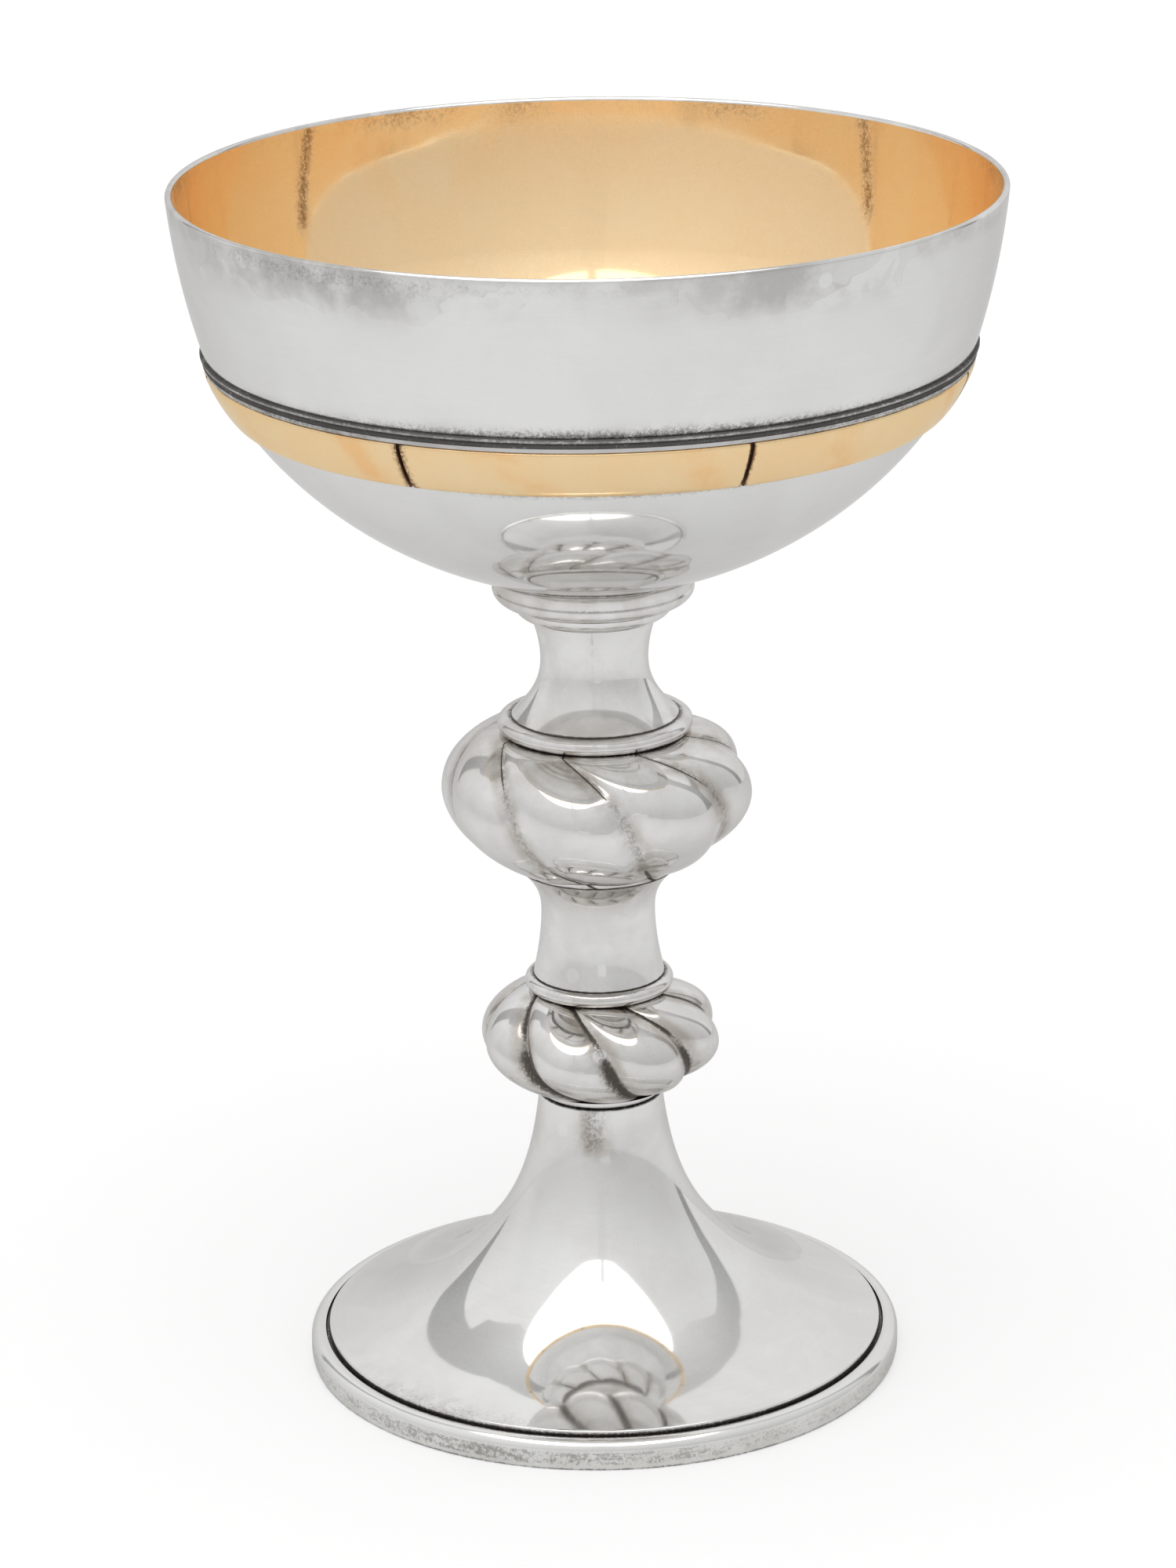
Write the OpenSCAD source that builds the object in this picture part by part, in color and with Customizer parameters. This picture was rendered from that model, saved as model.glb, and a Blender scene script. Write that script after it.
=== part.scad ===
// Ciborium vessel: an open silver cup, gilt inside, on a turned stem with two swirled knops
// and a trumpet foot. Millimetres, Z up, origin on the floor under the axis.
// The stem parts are stacked on a tie rod that screws into the cup and is pulled up by a nut
// inside the foot's neck.

/* [Cup] */
// Outside diameter of the cup at its rim
rim_d = 127; // [122:0.5:134]
// Height of the cup from its lowest point to the rim
cup_h = 62.6; // [58:0.1:68]
// Half width that the lower bowl's rounded outline would reach
bowl_half_w = 63.1; // [60:0.1:66]
// Depth of the lower bowl's rounded outline
bowl_depth = 57.2; // [54:0.1:62]
// Roundness of the lower bowl: 2 is an ellipse, less is more pointed
bowl_power = 1.9; // [1.8:0.01:2.1]
// Thickness of the cup's silver wall
cup_wall = 0.85; // [0.6:0.05:1.4]
// Thickness of the gilt layer inside the cup
gilt_t = 0.2; // [0.1:0.05:0.3]
// Bare silver left between the gilt layer and the top of the rim
gilt_margin = 0.5; // [0.4:0.1:2]
// How far the upper wall bows out between the girdle and the rim
wall_bow = 0.8; // [0:0.1:2]

/* [Girdle of the cup] */
// Height of the girdle's shoulder above the cup's lowest point
girdle_h = 36.3; // [30:0.1:40]
// Height of the gilt band below the shoulder
band_h = 7.4; // [4:0.1:12]
// How far the gilt band stands out of the bowl
band_t = 1.05; // [0.5:0.05:2]
// Number of lengths that the gilt band is made of
band_count = 7; // [5:1:10]
// Gap between two lengths of the band
band_gap = 0.5; // [0.2:0.1:1]
// Angle from +Y side of the first gap, about the axis
band_turn = 23.2; // [0:0.1:50]
// Height of the moulded wire above the band
wire_h = 2.1; // [1.5:0.1:3]
// How far the wire stands out of the wall
wire_t = 0.75; // [0.4:0.05:1.2]

/* [Applied cross] */
// Height of the cross
cross_h = 9; // [6:0.1:14]
// Width across its arms
cross_w = 6; // [4:0.1:9]
// Width of each bar
cross_bar = 1.6; // [1:0.1:2.4]
// Thickness of the cross above the wall
cross_t = 0.6; // [0.3:0.1:0.8]
// Height of the rim above the cross
cross_drop = 2.8; // [1.5:0.1:8]
// Direction from the axis, from +X towards +Y
cross_turn = 14; // [0:1:30]

/* [Collar under the cup] */
// Radius of the collar flange where it meets the bowl
flange_top_r = 17.4; // [16.2:0.1:19]
// Radius of the flange's lower edge
flange_edge_r = 15.65; // [14.5:0.05:16]
// Radius of the flange's narrow underside
flange_under_r = 12.7; // [11.5:0.1:13.5]
// Height of the flange from its underside to the cup's lowest point
flange_h = 2.95; // [2.8:0.05:4]
// Height of the rounded edge below the flange's thin groove
flange_edge_h = 2.3; // [1.6:0.1:2.5]
// Radius of the ring under the flange
collar_ring_r = 12.45; // [11:0.05:13]
// Height of that ring
collar_ring_h = 2.4; // [1.6:0.1:3.5]
// Diameter of the threaded boss under the cup
boss_d = 10; // [9:0.5:11]
// Length of the boss below the cup's lowest point
boss_len = 6.2; // [5.8:0.1:7]

/* [Upper stem] */
// Height of the upper stem
upper_stem_h = 16; // [12:0.1:22]
// Radius at its lower end
upper_stem_low_r = 13.2; // [11:0.1:13.6]
// Radius at its upper end
upper_stem_top_r = 9.75; // [8.8:0.05:10.5]
// Radius of its narrowest part
upper_stem_neck_r = 8.38; // [7.5:0.02:8.7]
// Height of its narrowest part above its lower end
upper_stem_neck_h = 9.2; // [5:0.1:11]

/* [Upper knop] */
// Height of the upper knop
upper_knop_h = 22.2; // [18:0.1:26]
// Radius of the upper knop over its lobes
upper_knop_r = 24.5; // [22:0.1:27]
// Height of its widest part above its underside
upper_knop_mid = 12.4; // [11:0.1:13]
// Height of the ring on the upper knop
upper_ring_h = 2.5; // [1.8:0.1:3.5]
// Radius of the ring on the upper knop
upper_ring_r = 15.2; // [14.9:0.1:16.2]

/* [Middle stem] */
// Height of the middle stem
middle_stem_h = 18.1; // [14:0.1:24]
// Radius at its lower end
middle_stem_low_r = 10.4; // [9.6:0.1:10.5]
// Radius at its upper end
middle_stem_top_r = 12.7; // [11.5:0.1:13.4]
// Radius of its narrowest part
middle_stem_neck_r = 8.95; // [8:0.05:9.4]
// Height of its narrowest part above its lower end
middle_stem_neck_h = 10.5; // [7:0.1:12]

/* [Lower knop] */
// Height of the lower knop
lower_knop_h = 15.9; // [13:0.1:18]
// Radius of the lower knop over its lobes
lower_knop_r = 19.3; // [17.5:0.1:22]
// Height of its widest part above its underside
lower_knop_mid = 7.6; // [6.8:0.1:8.2]
// Height of the ring on the lower knop
lower_ring_h = 2.3; // [1.8:0.1:3]
// Radius of the ring on the lower knop
lower_ring_r = 11.7; // [11.6:0.1:12.2]
// Height of the bead under the lower knop
bead_h = 1.8; // [1.2:0.1:2.4]
// Radius of the bead under the lower knop
bead_r = 9.85; // [9.4:0.05:10.8]

/* [Knops] */
// Number of swirled lobes round each knop
lobe_count = 8; // [6:1:10]
// Share of the upper knop's radius at which its lobes' round outlines are centred
upper_lobe_share = 0.49; // [0.3:0.01:0.6]
// Share of the lower knop's radius at which its lobes' round outlines are centred
lower_lobe_share = 0.57; // [0.3:0.01:0.65]
// Turn of the upper knop about the axis
upper_knop_turn = 12; // [0:0.5:45]
// Turn of the lower knop about the axis
lower_knop_turn = 5.5; // [0:0.5:45]
// Wall thickness of the hollow knops
knop_wall = 1.2; // [0.8:0.1:2]
// Diameter of the hole in each end of a knop
knop_hole_d = 16; // [14:0.5:17]

/* [Foot] */
// Height of the foot from the floor to the top of its neck
foot_h = 44.3; // [38:0.1:52]
// Outside diameter of the foot's moulding
foot_d = 94.5; // [88:0.1:104]
// Height of the moulding
moulding_h = 4.6; // [3.6:0.1:4.8]
// Width of the moulding from its outside to its inside
moulding_w = 4.2; // [3.8:0.1:6]
// Width of the moulding's lip outside the groove
lip_w = 2.4; // [1.8:0.1:2.8]
// Width of the groove between the moulding's lip and the foot's edge
groove_w = 0.55; // [0.3:0.05:0.9]
// Radius of the neck at its top
neck_r = 9.8; // [9:0.1:10.5]
// Radius of the foot where the neck turns into the spreading part
shoulder_r = 17.15; // [15:0.1:19]
// Height of that place above the floor
shoulder_h = 22.3; // [18:0.1:26]
// Height of the foot's top surface at its outer edge
foot_edge_h = 5.3; // [5.2:0.1:6.5]
// Wall thickness of the foot
foot_wall = 1.2; // [0.8:0.1:1.8]
// Thickness of the disc soldered in under the neck's top
neck_disc_t = 1.8; // [1.2:0.1:3]

/* [Joints and tie rod] */
// Wall thickness of the hollow stems
stem_wall = 1.2; // [0.9:0.1:1.8]
// Diameter of the spigots that centre the stems
spigot_d = 10; // [9:0.5:11]
// Length of every spigot
spigot_len = 1; // [0.6:0.1:1.1]
// Sliding clearance round each spigot and boss
fit_clear = 0.1; // [0.05:0.01:0.2]
// Diameter of the tie rod
rod_d = 6; // [5:0.5:7]
// Clearance round the rod where it only passes through
rod_clear = 0.25; // [0.15:0.05:0.5]
// Clearance round the rod where it is threaded
thread_clear = 0.05; // [0.02:0.01:0.1]
// Length of the rod below the nut
rod_tail = 2; // [0.5:0.5:6]
// Width of the nut across its flats
nut_w = 10; // [9:0.5:12]
// Height of the nut
nut_h = 5; // [3:0.5:7]
// Diameter of the washer
washer_d = 13; // [12:0.5:15]
// Thickness of the washer
washer_t = 1.2; // [0.8:0.1:2]

/* [Hidden] */

// Colours of the metals
silver = "#D2D0CC";
dark_silver = "#55504A";
gilt = "#EBC88C";
steel = "#8E9194";

// Steps along the curved outlines, and round them
curve_steps = 24;
short_steps = 8;
$fn = 96;

// Heights of the stacked pieces above the floor
bead_z = foot_h;
lower_knop_z = bead_z + bead_h;
lower_ring_z = lower_knop_z + lower_knop_h;
middle_stem_z = lower_ring_z + lower_ring_h;
upper_knop_z = middle_stem_z + middle_stem_h;
upper_ring_z = upper_knop_z + upper_knop_h;
upper_stem_z = upper_ring_z + upper_ring_h;
collar_ring_z = upper_stem_z + upper_stem_h;
flange_z = collar_ring_z + collar_ring_h;
cup_z = flange_z + flange_h;

rim_r = rim_d / 2;
boss_r = boss_d / 2;
rod_r = rod_d / 2;
spigot_r = spigot_d / 2;
knop_hole_r = knop_hole_d / 2;
rod_hole_r = rod_r + rod_clear;
// The inside of the cup's rim, where the bare silver is as thick as wall and gilding together
rim_t = cup_wall + gilt_t;
gilt_top = cup_h - gilt_margin;
// Clearance under the bowl where it rests in the flange's dished top
seat_gap = 0.04;
// The foot's outer edge, and the level of the seat that carries it
foot_edge_r = foot_d / 2 - lip_w - groove_w;
foot_seat_z = foot_edge_h - foot_wall;
// The flat underside of the foot's edge is as wide as the moulding's seat
foot_seat_r = foot_d / 2 - moulding_w;
// Radius of the hole in the neck's turned-in top, which takes the bead's spigot
neck_hole_r = neck_r - 2.2;

// ---- outlines shared by several pieces ----

// A point of the lower bowl's outline at angle t from its lowest point, set in by a thickness
function bowl_pt(t, inset) = [
    (bowl_half_w - inset) * pow(sin(t), 2 / bowl_power),
    bowl_depth - (bowl_depth - inset) * pow(cos(t), 2 / bowl_power)
];
// The angle at which that outline reaches height h
function bowl_angle(h, inset) = acos(pow((bowl_depth - h) / (bowl_depth - inset), bowl_power / 2));
// The height of the bowl's outside at radius r
function bowl_height(r) =
    bowl_depth * (1 - pow(1 - pow(r / bowl_half_w, bowl_power), 1 / bowl_power));
// The radius of the upper wall's outside at height h
girdle_r = bowl_pt(bowl_angle(girdle_h, 0), 0)[0];
function wall_r(h) =
    let (u = (h - girdle_h) / (cup_h - girdle_h))
    girdle_r + (rim_r - girdle_r) * u + 4 * wall_bow * u * (1 - u);

// The bowl's outline from angle t0 to angle t1
function bowl_arc(t0, t1, steps, inset) = [for (i = [0:steps]) bowl_pt(t0 + (t1 - t0) * i / steps, inset)];
// The outline of the band's seat, and of the wall from height h0 to h1
band_low_t = bowl_angle(girdle_h - band_h, 0);
girdle_t = bowl_angle(girdle_h, 0);
band_seat = bowl_arc(band_low_t, girdle_t, short_steps, 0);
function wall_line(h0, h1, steps, inset) =
    [for (i = [0:steps]) let (h = h0 + (h1 - h0) * i / steps) [wall_r(h) - inset, h]];
// The wall's outside from the wire's top to the rim
upper_wall = wall_line(girdle_h + wire_h, cup_h - rim_t / 2, curve_steps, 0);
// The inside of the cup at a thickness, up to height h
function inside_line(inset, h) = concat(
    bowl_arc(0, bowl_angle(girdle_h, inset), curve_steps, inset),
    wall_line(girdle_h + wire_h, h, curve_steps, inset)
);
function backwards(line) = [for (i = [len(line) - 1:-1:0]) line[i]];

// A quarter-round outline from (r0, z0), level, out to (r1, z1), upright
function quarter_out(r0, z0, r1, z1) =
    [for (a = [0:15:90]) [r0 + (r1 - r0) * sin(a), z1 - (z1 - z0) * cos(a)]];
// A hollow quarter-round from (r0, z0), upright, out to (r1, z1), level
function quarter_in(r0, z0, r1, z1) =
    [for (a = [0:15:90]) [r1 - (r1 - r0) * cos(a), z0 + (z1 - z0) * sin(a)]];

// A waisted outline: ends low_r and top_r, waist neck_r at neck_h; the powers say how fast it flares
function waist_line(h, low_r, top_r, neck_r, neck_h, low_power, top_power) = [
    for (i = [0:curve_steps])
        let (z = h * i / curve_steps)
        let (low = z < neck_h)
        let (u = low ? (neck_h - z) / neck_h : (z - neck_h) / (h - neck_h))
        [neck_r + ((low ? low_r : top_r) - neck_r) * pow(u, low ? low_power : top_power), z]
];
// The same line moved in by wall t, square to itself
function set_in(line, t) = [
    for (i = [0:len(line) - 1])
        let (a = line[max(0, i - 1)], b = line[min(len(line) - 1, i + 1)])
        let (d = (b - a) / norm(b - a))
        line[i] + t * [-d[1], d[0]]
];

// The foot's outside, from its outer edge in and up to the top of the neck
flare_base_h = foot_edge_h - 3.9;
flare_run = (foot_edge_r - shoulder_r) / ln((shoulder_h - flare_base_h) / (foot_edge_h - flare_base_h));
neck_base_r = neck_r - 1.25;
neck_run = (foot_h - shoulder_h) / ln((shoulder_r - neck_base_r) / (neck_r - neck_base_r));
foot_line = concat(
    [for (i = [0:curve_steps])
        let (r = foot_edge_r + (shoulder_r - foot_edge_r) * i / curve_steps)
        [r, flare_base_h + (shoulder_h - flare_base_h) * exp(-(r - shoulder_r) / flare_run)]],
    [for (i = [1:curve_steps])
        let (z = shoulder_h + (foot_h - shoulder_h) * i / curve_steps)
        [neck_base_r + (shoulder_r - neck_base_r) * exp(-(z - shoulder_h) / neck_run), z]]
);
foot_inner = [for (p = set_in(foot_line, foot_wall)) if (p[0] < foot_seat_r && p[1] < foot_h - foot_wall) p];

// ---- shared shapes ----

// A turned piece from an outline of [radius, height] points
module turned(line) {
    rotate_extrude() polygon(line);
}

// A tube
module tube(outer_r, inner_r, h) {
    difference() {
        cylinder(h = h, r = outer_r);
        translate([0, 0, -1]) cylinder(h = h + 2, r = inner_r);
    }
}

// A flat ring with a half-round edge, bored for the rod, with a centring spigot on each side
module beaded_ring(outer_r, h, low_spigot_r, top_spigot_r) {
    difference() {
        rotate_extrude() {
            translate([outer_r - h / 2, h / 2]) circle(d = h);
            square([outer_r - h / 2, h]);
            translate([0, -spigot_len]) square([low_spigot_r, spigot_len]);
            translate([0, h]) square([top_spigot_r, spigot_len]);
        }
        translate([0, 0, -spigot_len - 1]) cylinder(h = h + 2 * spigot_len + 2, r = rod_hole_r);
    }
}

// A hollow waisted stem with a closed end plate at each end; each plate has its own hole
module stem(line, h, low_hole_r, top_hole_r) {
    cavity = [for (p = set_in(line, stem_wall)) if (p[1] > stem_wall && p[1] < h - stem_wall) p];
    difference() {
        turned(concat([[0, 0]], line, [[0, h]]));
        turned(concat([[0, stem_wall]], [[cavity[0][0], stem_wall]], cavity,
                      [[cavity[len(cavity) - 1][0], h - stem_wall], [0, h - stem_wall]]));
        translate([0, 0, -1]) cylinder(h = stem_wall + 2, r = low_hole_r);
        translate([0, 0, h - stem_wall - 1]) cylinder(h = stem_wall + 2, r = top_hole_r);
    }
}

// ---- the swirled knops ----

// Radius of a knop's rounded outline, as a share of its widest, at height u above or below its middle
function round_share(u, reach, power) = pow(1 - pow(abs(u) / reach, power), 1 / power);
// Radius of a lobed outline, as a share of its crest, at angle a from the lobe's middle
function lobe_share(a, share) = share * cos(a) + sqrt(pow(1 - share, 2) - pow(share * sin(a), 2));
// Turn of the swirl at a height given as a share of the half height, from -1 to 1
function swirl(v) = let (lat = asin(0.8 * v) * PI / 180) -14 * lat - 24 * pow(lat, 3);

// A hollow swirled knop with a groove at +X: total height h, middle at mid; reach and power shape
// each half
module knop(h, r, mid, top_reach, top_power, low_reach, low_power, share) {
    side_steps = 12;
    around = side_steps * lobe_count;
    rows = 24;
    pitch = 360 / lobe_count;
    // rows of the outside, from the underside up: [height, radius, turn, lobed]
    outer = [
        for (j = [0:rows])
            let (z = h * (1 - cos(180 * j / rows)) / 2)
            let (u = z - mid)
            let (s = u > 0 ? round_share(u, top_reach, top_power) : round_share(u, low_reach, low_power))
            [z, r * s, swirl(u > 0 ? u / (h - mid) : u / mid), true]
    ];
    // rows of the inside, from the top down; it is plain round
    inner_r = (r - knop_wall) * lobe_share(pitch / 2, share);
    inner = [
        [h, knop_hole_r, 0, false],
        [h - knop_wall, knop_hole_r, 0, false],
        [h - knop_wall - 1, inner_r * 0.56, 0, false],
        [mid + (h - mid) * 0.6, inner_r * 0.84, 0, false],
        [mid, inner_r, 0, false],
        [mid * 0.42, inner_r * 0.8, 0, false],
        [knop_wall, max(knop_hole_r, inner_r * 0.38), 0, false],
        [0, knop_hole_r, 0, false]
    ];
    loop = concat(outer, inner);
    points = [
        for (row = loop)
            for (i = [0:around - 1])
                let (a = i * 360 / around)
                let (in_lobe = a - pitch * floor(a / pitch) - pitch / 2)
                let (rr = row[3] ? row[1] * lobe_share(in_lobe, share) : row[1])
                [rr * cos(a + row[2]), rr * sin(a + row[2]), row[0]]
    ];
    count = len(loop);
    faces = [
        for (j = [0:count - 1])
            for (i = [0:around - 1])
                let (k = (j + 1) % count, n = (i + 1) % around)
                let (a = j * around + i, b = j * around + n, c = k * around + n, d = k * around + i)
                each [[a, c, b], [a, d, c]]
    ];
    polyhedron(points, faces);
}

// ---- the cup and what is fixed to it ----

module cup() {
    flat_h = bowl_height(boss_r);
    flat_t = bowl_angle(flat_h, 0);
    rim_round = [for (a = [15:15:165]) [
        wall_r(cup_h - rim_t / 2) - rim_t / 2 + cos(a) * rim_t / 2,
        cup_h - rim_t / 2 + sin(a) * rim_t / 2
    ]];
    outside = concat([[0, flat_h]], bowl_arc(flat_t, band_low_t, curve_steps, 0), band_seat, upper_wall);
    rebate = [[wall_r(gilt_top) - rim_t, gilt_top], [wall_r(gilt_top) - cup_wall, gilt_top]];
    color(silver) translate([0, 0, cup_z])
        turned(concat(outside, rim_round, rebate, backwards(inside_line(cup_wall, gilt_top - 0.3))));
}

module gilt_lining() {
    top = [[wall_r(gilt_top) - cup_wall, gilt_top], [wall_r(gilt_top) - rim_t, gilt_top]];
    color(gilt) translate([0, 0, cup_z]) turned(concat(
        inside_line(cup_wall, gilt_top - 0.3), top, backwards(inside_line(rim_t, gilt_top - 0.3))));
}

// A thin bead above a hollow, and a plain lip below it
module girdle_wire() {
    low_r = wall_r(girdle_h);
    top_r = wall_r(girdle_h + wire_h);
    // points of the section, as shares of the wire's height and of how far it stands out of the wall
    section = [[0, 0], [0, 1], [0.28, 1], [0.42, 0.45], [0.68, 0.45], [0.76, 0.75], [0.93, 0.75],
               [1, 0.4], [1, 0]];
    color(dark_silver) translate([0, 0, cup_z + girdle_h])
        turned([for (p = section) [low_r + (top_r - low_r) * p[0] + wire_t * p[1], wire_h * p[0]]]);
}

// Curved lengths of gilt moulding end to end round the bowl
module gilt_band() {
    face = [
        for (i = [1:2 * short_steps - 1])
            let (u = i / (2 * short_steps))
            bowl_pt(band_low_t + (girdle_t - band_low_t) * u, -band_t * pow(sin(180 * u), 0.3))
    ];
    color(gilt) translate([0, 0, cup_z]) difference() {
        turned(concat(band_seat, backwards(face)));
        for (i = [0:band_count - 1])
            rotate(band_turn - 90 + i * 360 / band_count)
                translate([0, -band_gap / 2, girdle_h - band_h - 1])
                    cube([rim_d, band_gap, band_h + 2]);
    }
}

module applied_cross() {
    base_h = cup_h - cross_drop - cross_h;
    skin = [for (p = upper_wall) [p[0] + cross_t, p[1]]];
    color(silver) translate([0, 0, cup_z]) rotate(cross_turn) intersection() {
        turned(concat(upper_wall, backwards(skin)));
        translate([rim_r / 2, 0, base_h]) union() {
            translate([0, -cross_bar / 2, 0]) cube([rim_r, cross_bar, cross_h]);
            translate([0, -cross_w / 2, cross_h * 0.6]) cube([rim_r, cross_w, cross_bar]);
        }
    }
}

module cup_boss() {
    top_h = bowl_height(boss_r);
    hole_len = boss_len - 0.7;
    color(silver) translate([0, 0, cup_z - boss_len]) difference() {
        cylinder(h = boss_len + top_h, r = boss_r);
        translate([0, 0, -1]) cylinder(h = hole_len + 1, r = rod_r + thread_clear);
    }
}

// ---- the collar and the stems ----

// The flange: a rounded edge, a thin groove and a hollow that runs out to a lip along the bowl
module collar_flange() {
    bore_r = boss_r + fit_clear;
    groove = 0.25;
    lip = 0.2;
    top_h = flange_h + bowl_height(flange_top_r) - seat_gap;
    hollow_r = flange_edge_r - groove;
    hollow_z = flange_edge_h + 2 * groove;
    slope = (bowl_height(flange_top_r) - bowl_height(hollow_r)) / (flange_top_r - hollow_r);
    rise = slope * (flange_top_r - hollow_r);
    hollow = [
        for (p = quarter_in(hollow_r, hollow_z, flange_top_r, top_h - lip - rise))
            [p[0], p[1] + slope * (p[0] - hollow_r)]
    ];
    dish = [
        for (i = [0:curve_steps])
            let (r = flange_top_r + (bore_r - flange_top_r) * i / curve_steps)
            [r, flange_h + bowl_height(r) - seat_gap]
    ];
    color(silver) translate([0, 0, flange_z]) turned(concat(
        [[bore_r, 0]],
        quarter_out(flange_under_r, 0, flange_edge_r, flange_edge_h),
        [[hollow_r, flange_edge_h + groove]],
        hollow,
        dish));
}

// The quarter-round ring between the flange and the upper stem
module collar_ring() {
    color(silver) translate([0, 0, collar_ring_z]) turned(concat(
        [[boss_r + fit_clear, 0]],
        quarter_out(upper_stem_top_r, 0, collar_ring_r, collar_ring_h),
        [[boss_r + fit_clear, collar_ring_h]]));
}

module upper_stem() {
    line = waist_line(upper_stem_h, upper_stem_low_r, upper_stem_top_r, upper_stem_neck_r,
                      upper_stem_neck_h, 2.2, 1.85);
    color(silver) translate([0, 0, upper_stem_z])
        stem(line, upper_stem_h, spigot_r + fit_clear, boss_r + fit_clear);
}

module upper_knop_ring() {
    color(silver) translate([0, 0, upper_ring_z])
        beaded_ring(upper_ring_r, upper_ring_h, knop_hole_r - fit_clear, spigot_r);
}

module upper_knop() {
    color(silver) translate([0, 0, upper_knop_z]) rotate(upper_knop_turn)
        knop(upper_knop_h, upper_knop_r, upper_knop_mid, upper_knop_h - upper_knop_mid + 3, 2.2,
             upper_knop_mid + 2.3, 1.85, upper_lobe_share);
}

// The middle stem carries the spigot that centres the upper knop
module middle_stem() {
    line = waist_line(middle_stem_h, middle_stem_low_r, middle_stem_top_r, middle_stem_neck_r,
                      middle_stem_neck_h, 1.85, 2.4);
    color(silver) translate([0, 0, middle_stem_z]) {
        stem(line, middle_stem_h, spigot_r + fit_clear, rod_hole_r);
        translate([0, 0, middle_stem_h]) tube(knop_hole_r - fit_clear, rod_hole_r, spigot_len);
    }
}

module lower_knop_ring() {
    color(silver) translate([0, 0, lower_ring_z])
        beaded_ring(lower_ring_r, lower_ring_h, knop_hole_r - fit_clear, spigot_r);
}

module lower_knop() {
    color(silver) translate([0, 0, lower_knop_z]) rotate(lower_knop_turn)
        knop(lower_knop_h, lower_knop_r, lower_knop_mid, lower_knop_h - lower_knop_mid + 1.5, 2.1,
             lower_knop_mid + 2.1, 1.9, lower_lobe_share);
}

module neck_bead() {
    color(silver) translate([0, 0, bead_z])
        beaded_ring(bead_r, bead_h, neck_hole_r - fit_clear, knop_hole_r - fit_clear);
}

// ---- the foot ----

module foot() {
    top_lip_z = foot_h - foot_wall;
    last_inner_r = foot_inner[len(foot_inner) - 1][0];
    color(silver) turned(concat(
        [[foot_seat_r, foot_seat_z], [foot_edge_r, foot_seat_z]],
        foot_line,
        [[neck_hole_r, foot_h], [neck_hole_r, top_lip_z], [last_inner_r, top_lip_z]],
        backwards(foot_inner)));
}

// The heavy wire round the foot: rounded outside, a lip over the groove and a seat for the foot's edge
module foot_moulding() {
    outer_r = foot_d / 2;
    toe = 0.4;
    side_h = moulding_h * 0.62;
    color(silver) turned(concat(
        [[foot_seat_r, 0]],
        quarter_out(outer_r - toe, 0, outer_r, moulding_h * 0.3),
        [for (a = [0:15:90]) [outer_r - 1.6 * (1 - cos(a)), side_h + (moulding_h - side_h) * sin(a)]],
        [[outer_r - lip_w, moulding_h], [outer_r - lip_w, foot_seat_z], [foot_seat_r, foot_seat_z]]));
}

// The disc soldered in under the neck's top, on which the nut pulls
module neck_disc() {
    disc_z = foot_h - foot_wall - neck_disc_t;
    color(silver) translate([0, 0, disc_z])
        tube(foot_inner[len(foot_inner) - 1][0] - fit_clear, rod_hole_r, neck_disc_t);
}

// ---- the tie rod and its fastening ----

washer_z = foot_h - foot_wall - neck_disc_t - washer_t;
nut_z = washer_z - nut_h;
rod_z = nut_z - rod_tail;
rod_top_z = cup_z - 1.2;

module tie_rod() {
    chamfer = 0.5;
    color(steel) translate([0, 0, rod_z]) {
        len_z = rod_top_z - rod_z;
        turned([[0, 0], [rod_r - chamfer, 0], [rod_r, chamfer], [rod_r, len_z - chamfer],
                [rod_r - chamfer, len_z], [0, len_z]]);
    }
}

module washer() {
    color(steel) translate([0, 0, washer_z]) tube(washer_d / 2, rod_hole_r, washer_t);
}

module nut() {
    color(steel) translate([0, 0, nut_z]) difference() {
        cylinder(h = nut_h, d = nut_w / cos(30), $fn = 6);
        translate([0, 0, -1]) cylinder(h = nut_h + 2, r = rod_r + thread_clear);
    }
}

cup();
gilt_lining();
girdle_wire();
gilt_band();
applied_cross();
cup_boss();
collar_flange();
collar_ring();
upper_stem();
upper_knop_ring();
upper_knop();
middle_stem();
lower_knop_ring();
lower_knop();
neck_bead();
foot();
foot_moulding();
neck_disc();
tie_rod();
washer();
nut();
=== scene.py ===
# %% [markdown]
# # A ciborium vessel in silver and gilt
# The object is an open altar cup of raised silver, gilt inside, on a turned stem with two swirled
# knops and a trumpet foot. It is built in the order in which a silversmith would make it: the cup
# and its girdle, the collar and stems, the knops, then the foot. The frame below holds the exact
# solids of every part. Each visible one gets a finer mesh here, in the same place, and metal that
# has been polished, handled and tarnished.

# %% Load the frame
from math import acos, asin, atan2, cos, degrees, exp, hypot, log, pi, radians, sin, sqrt, tau
import bpy
import bmesh
from mathutils import Matrix, Vector


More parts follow.
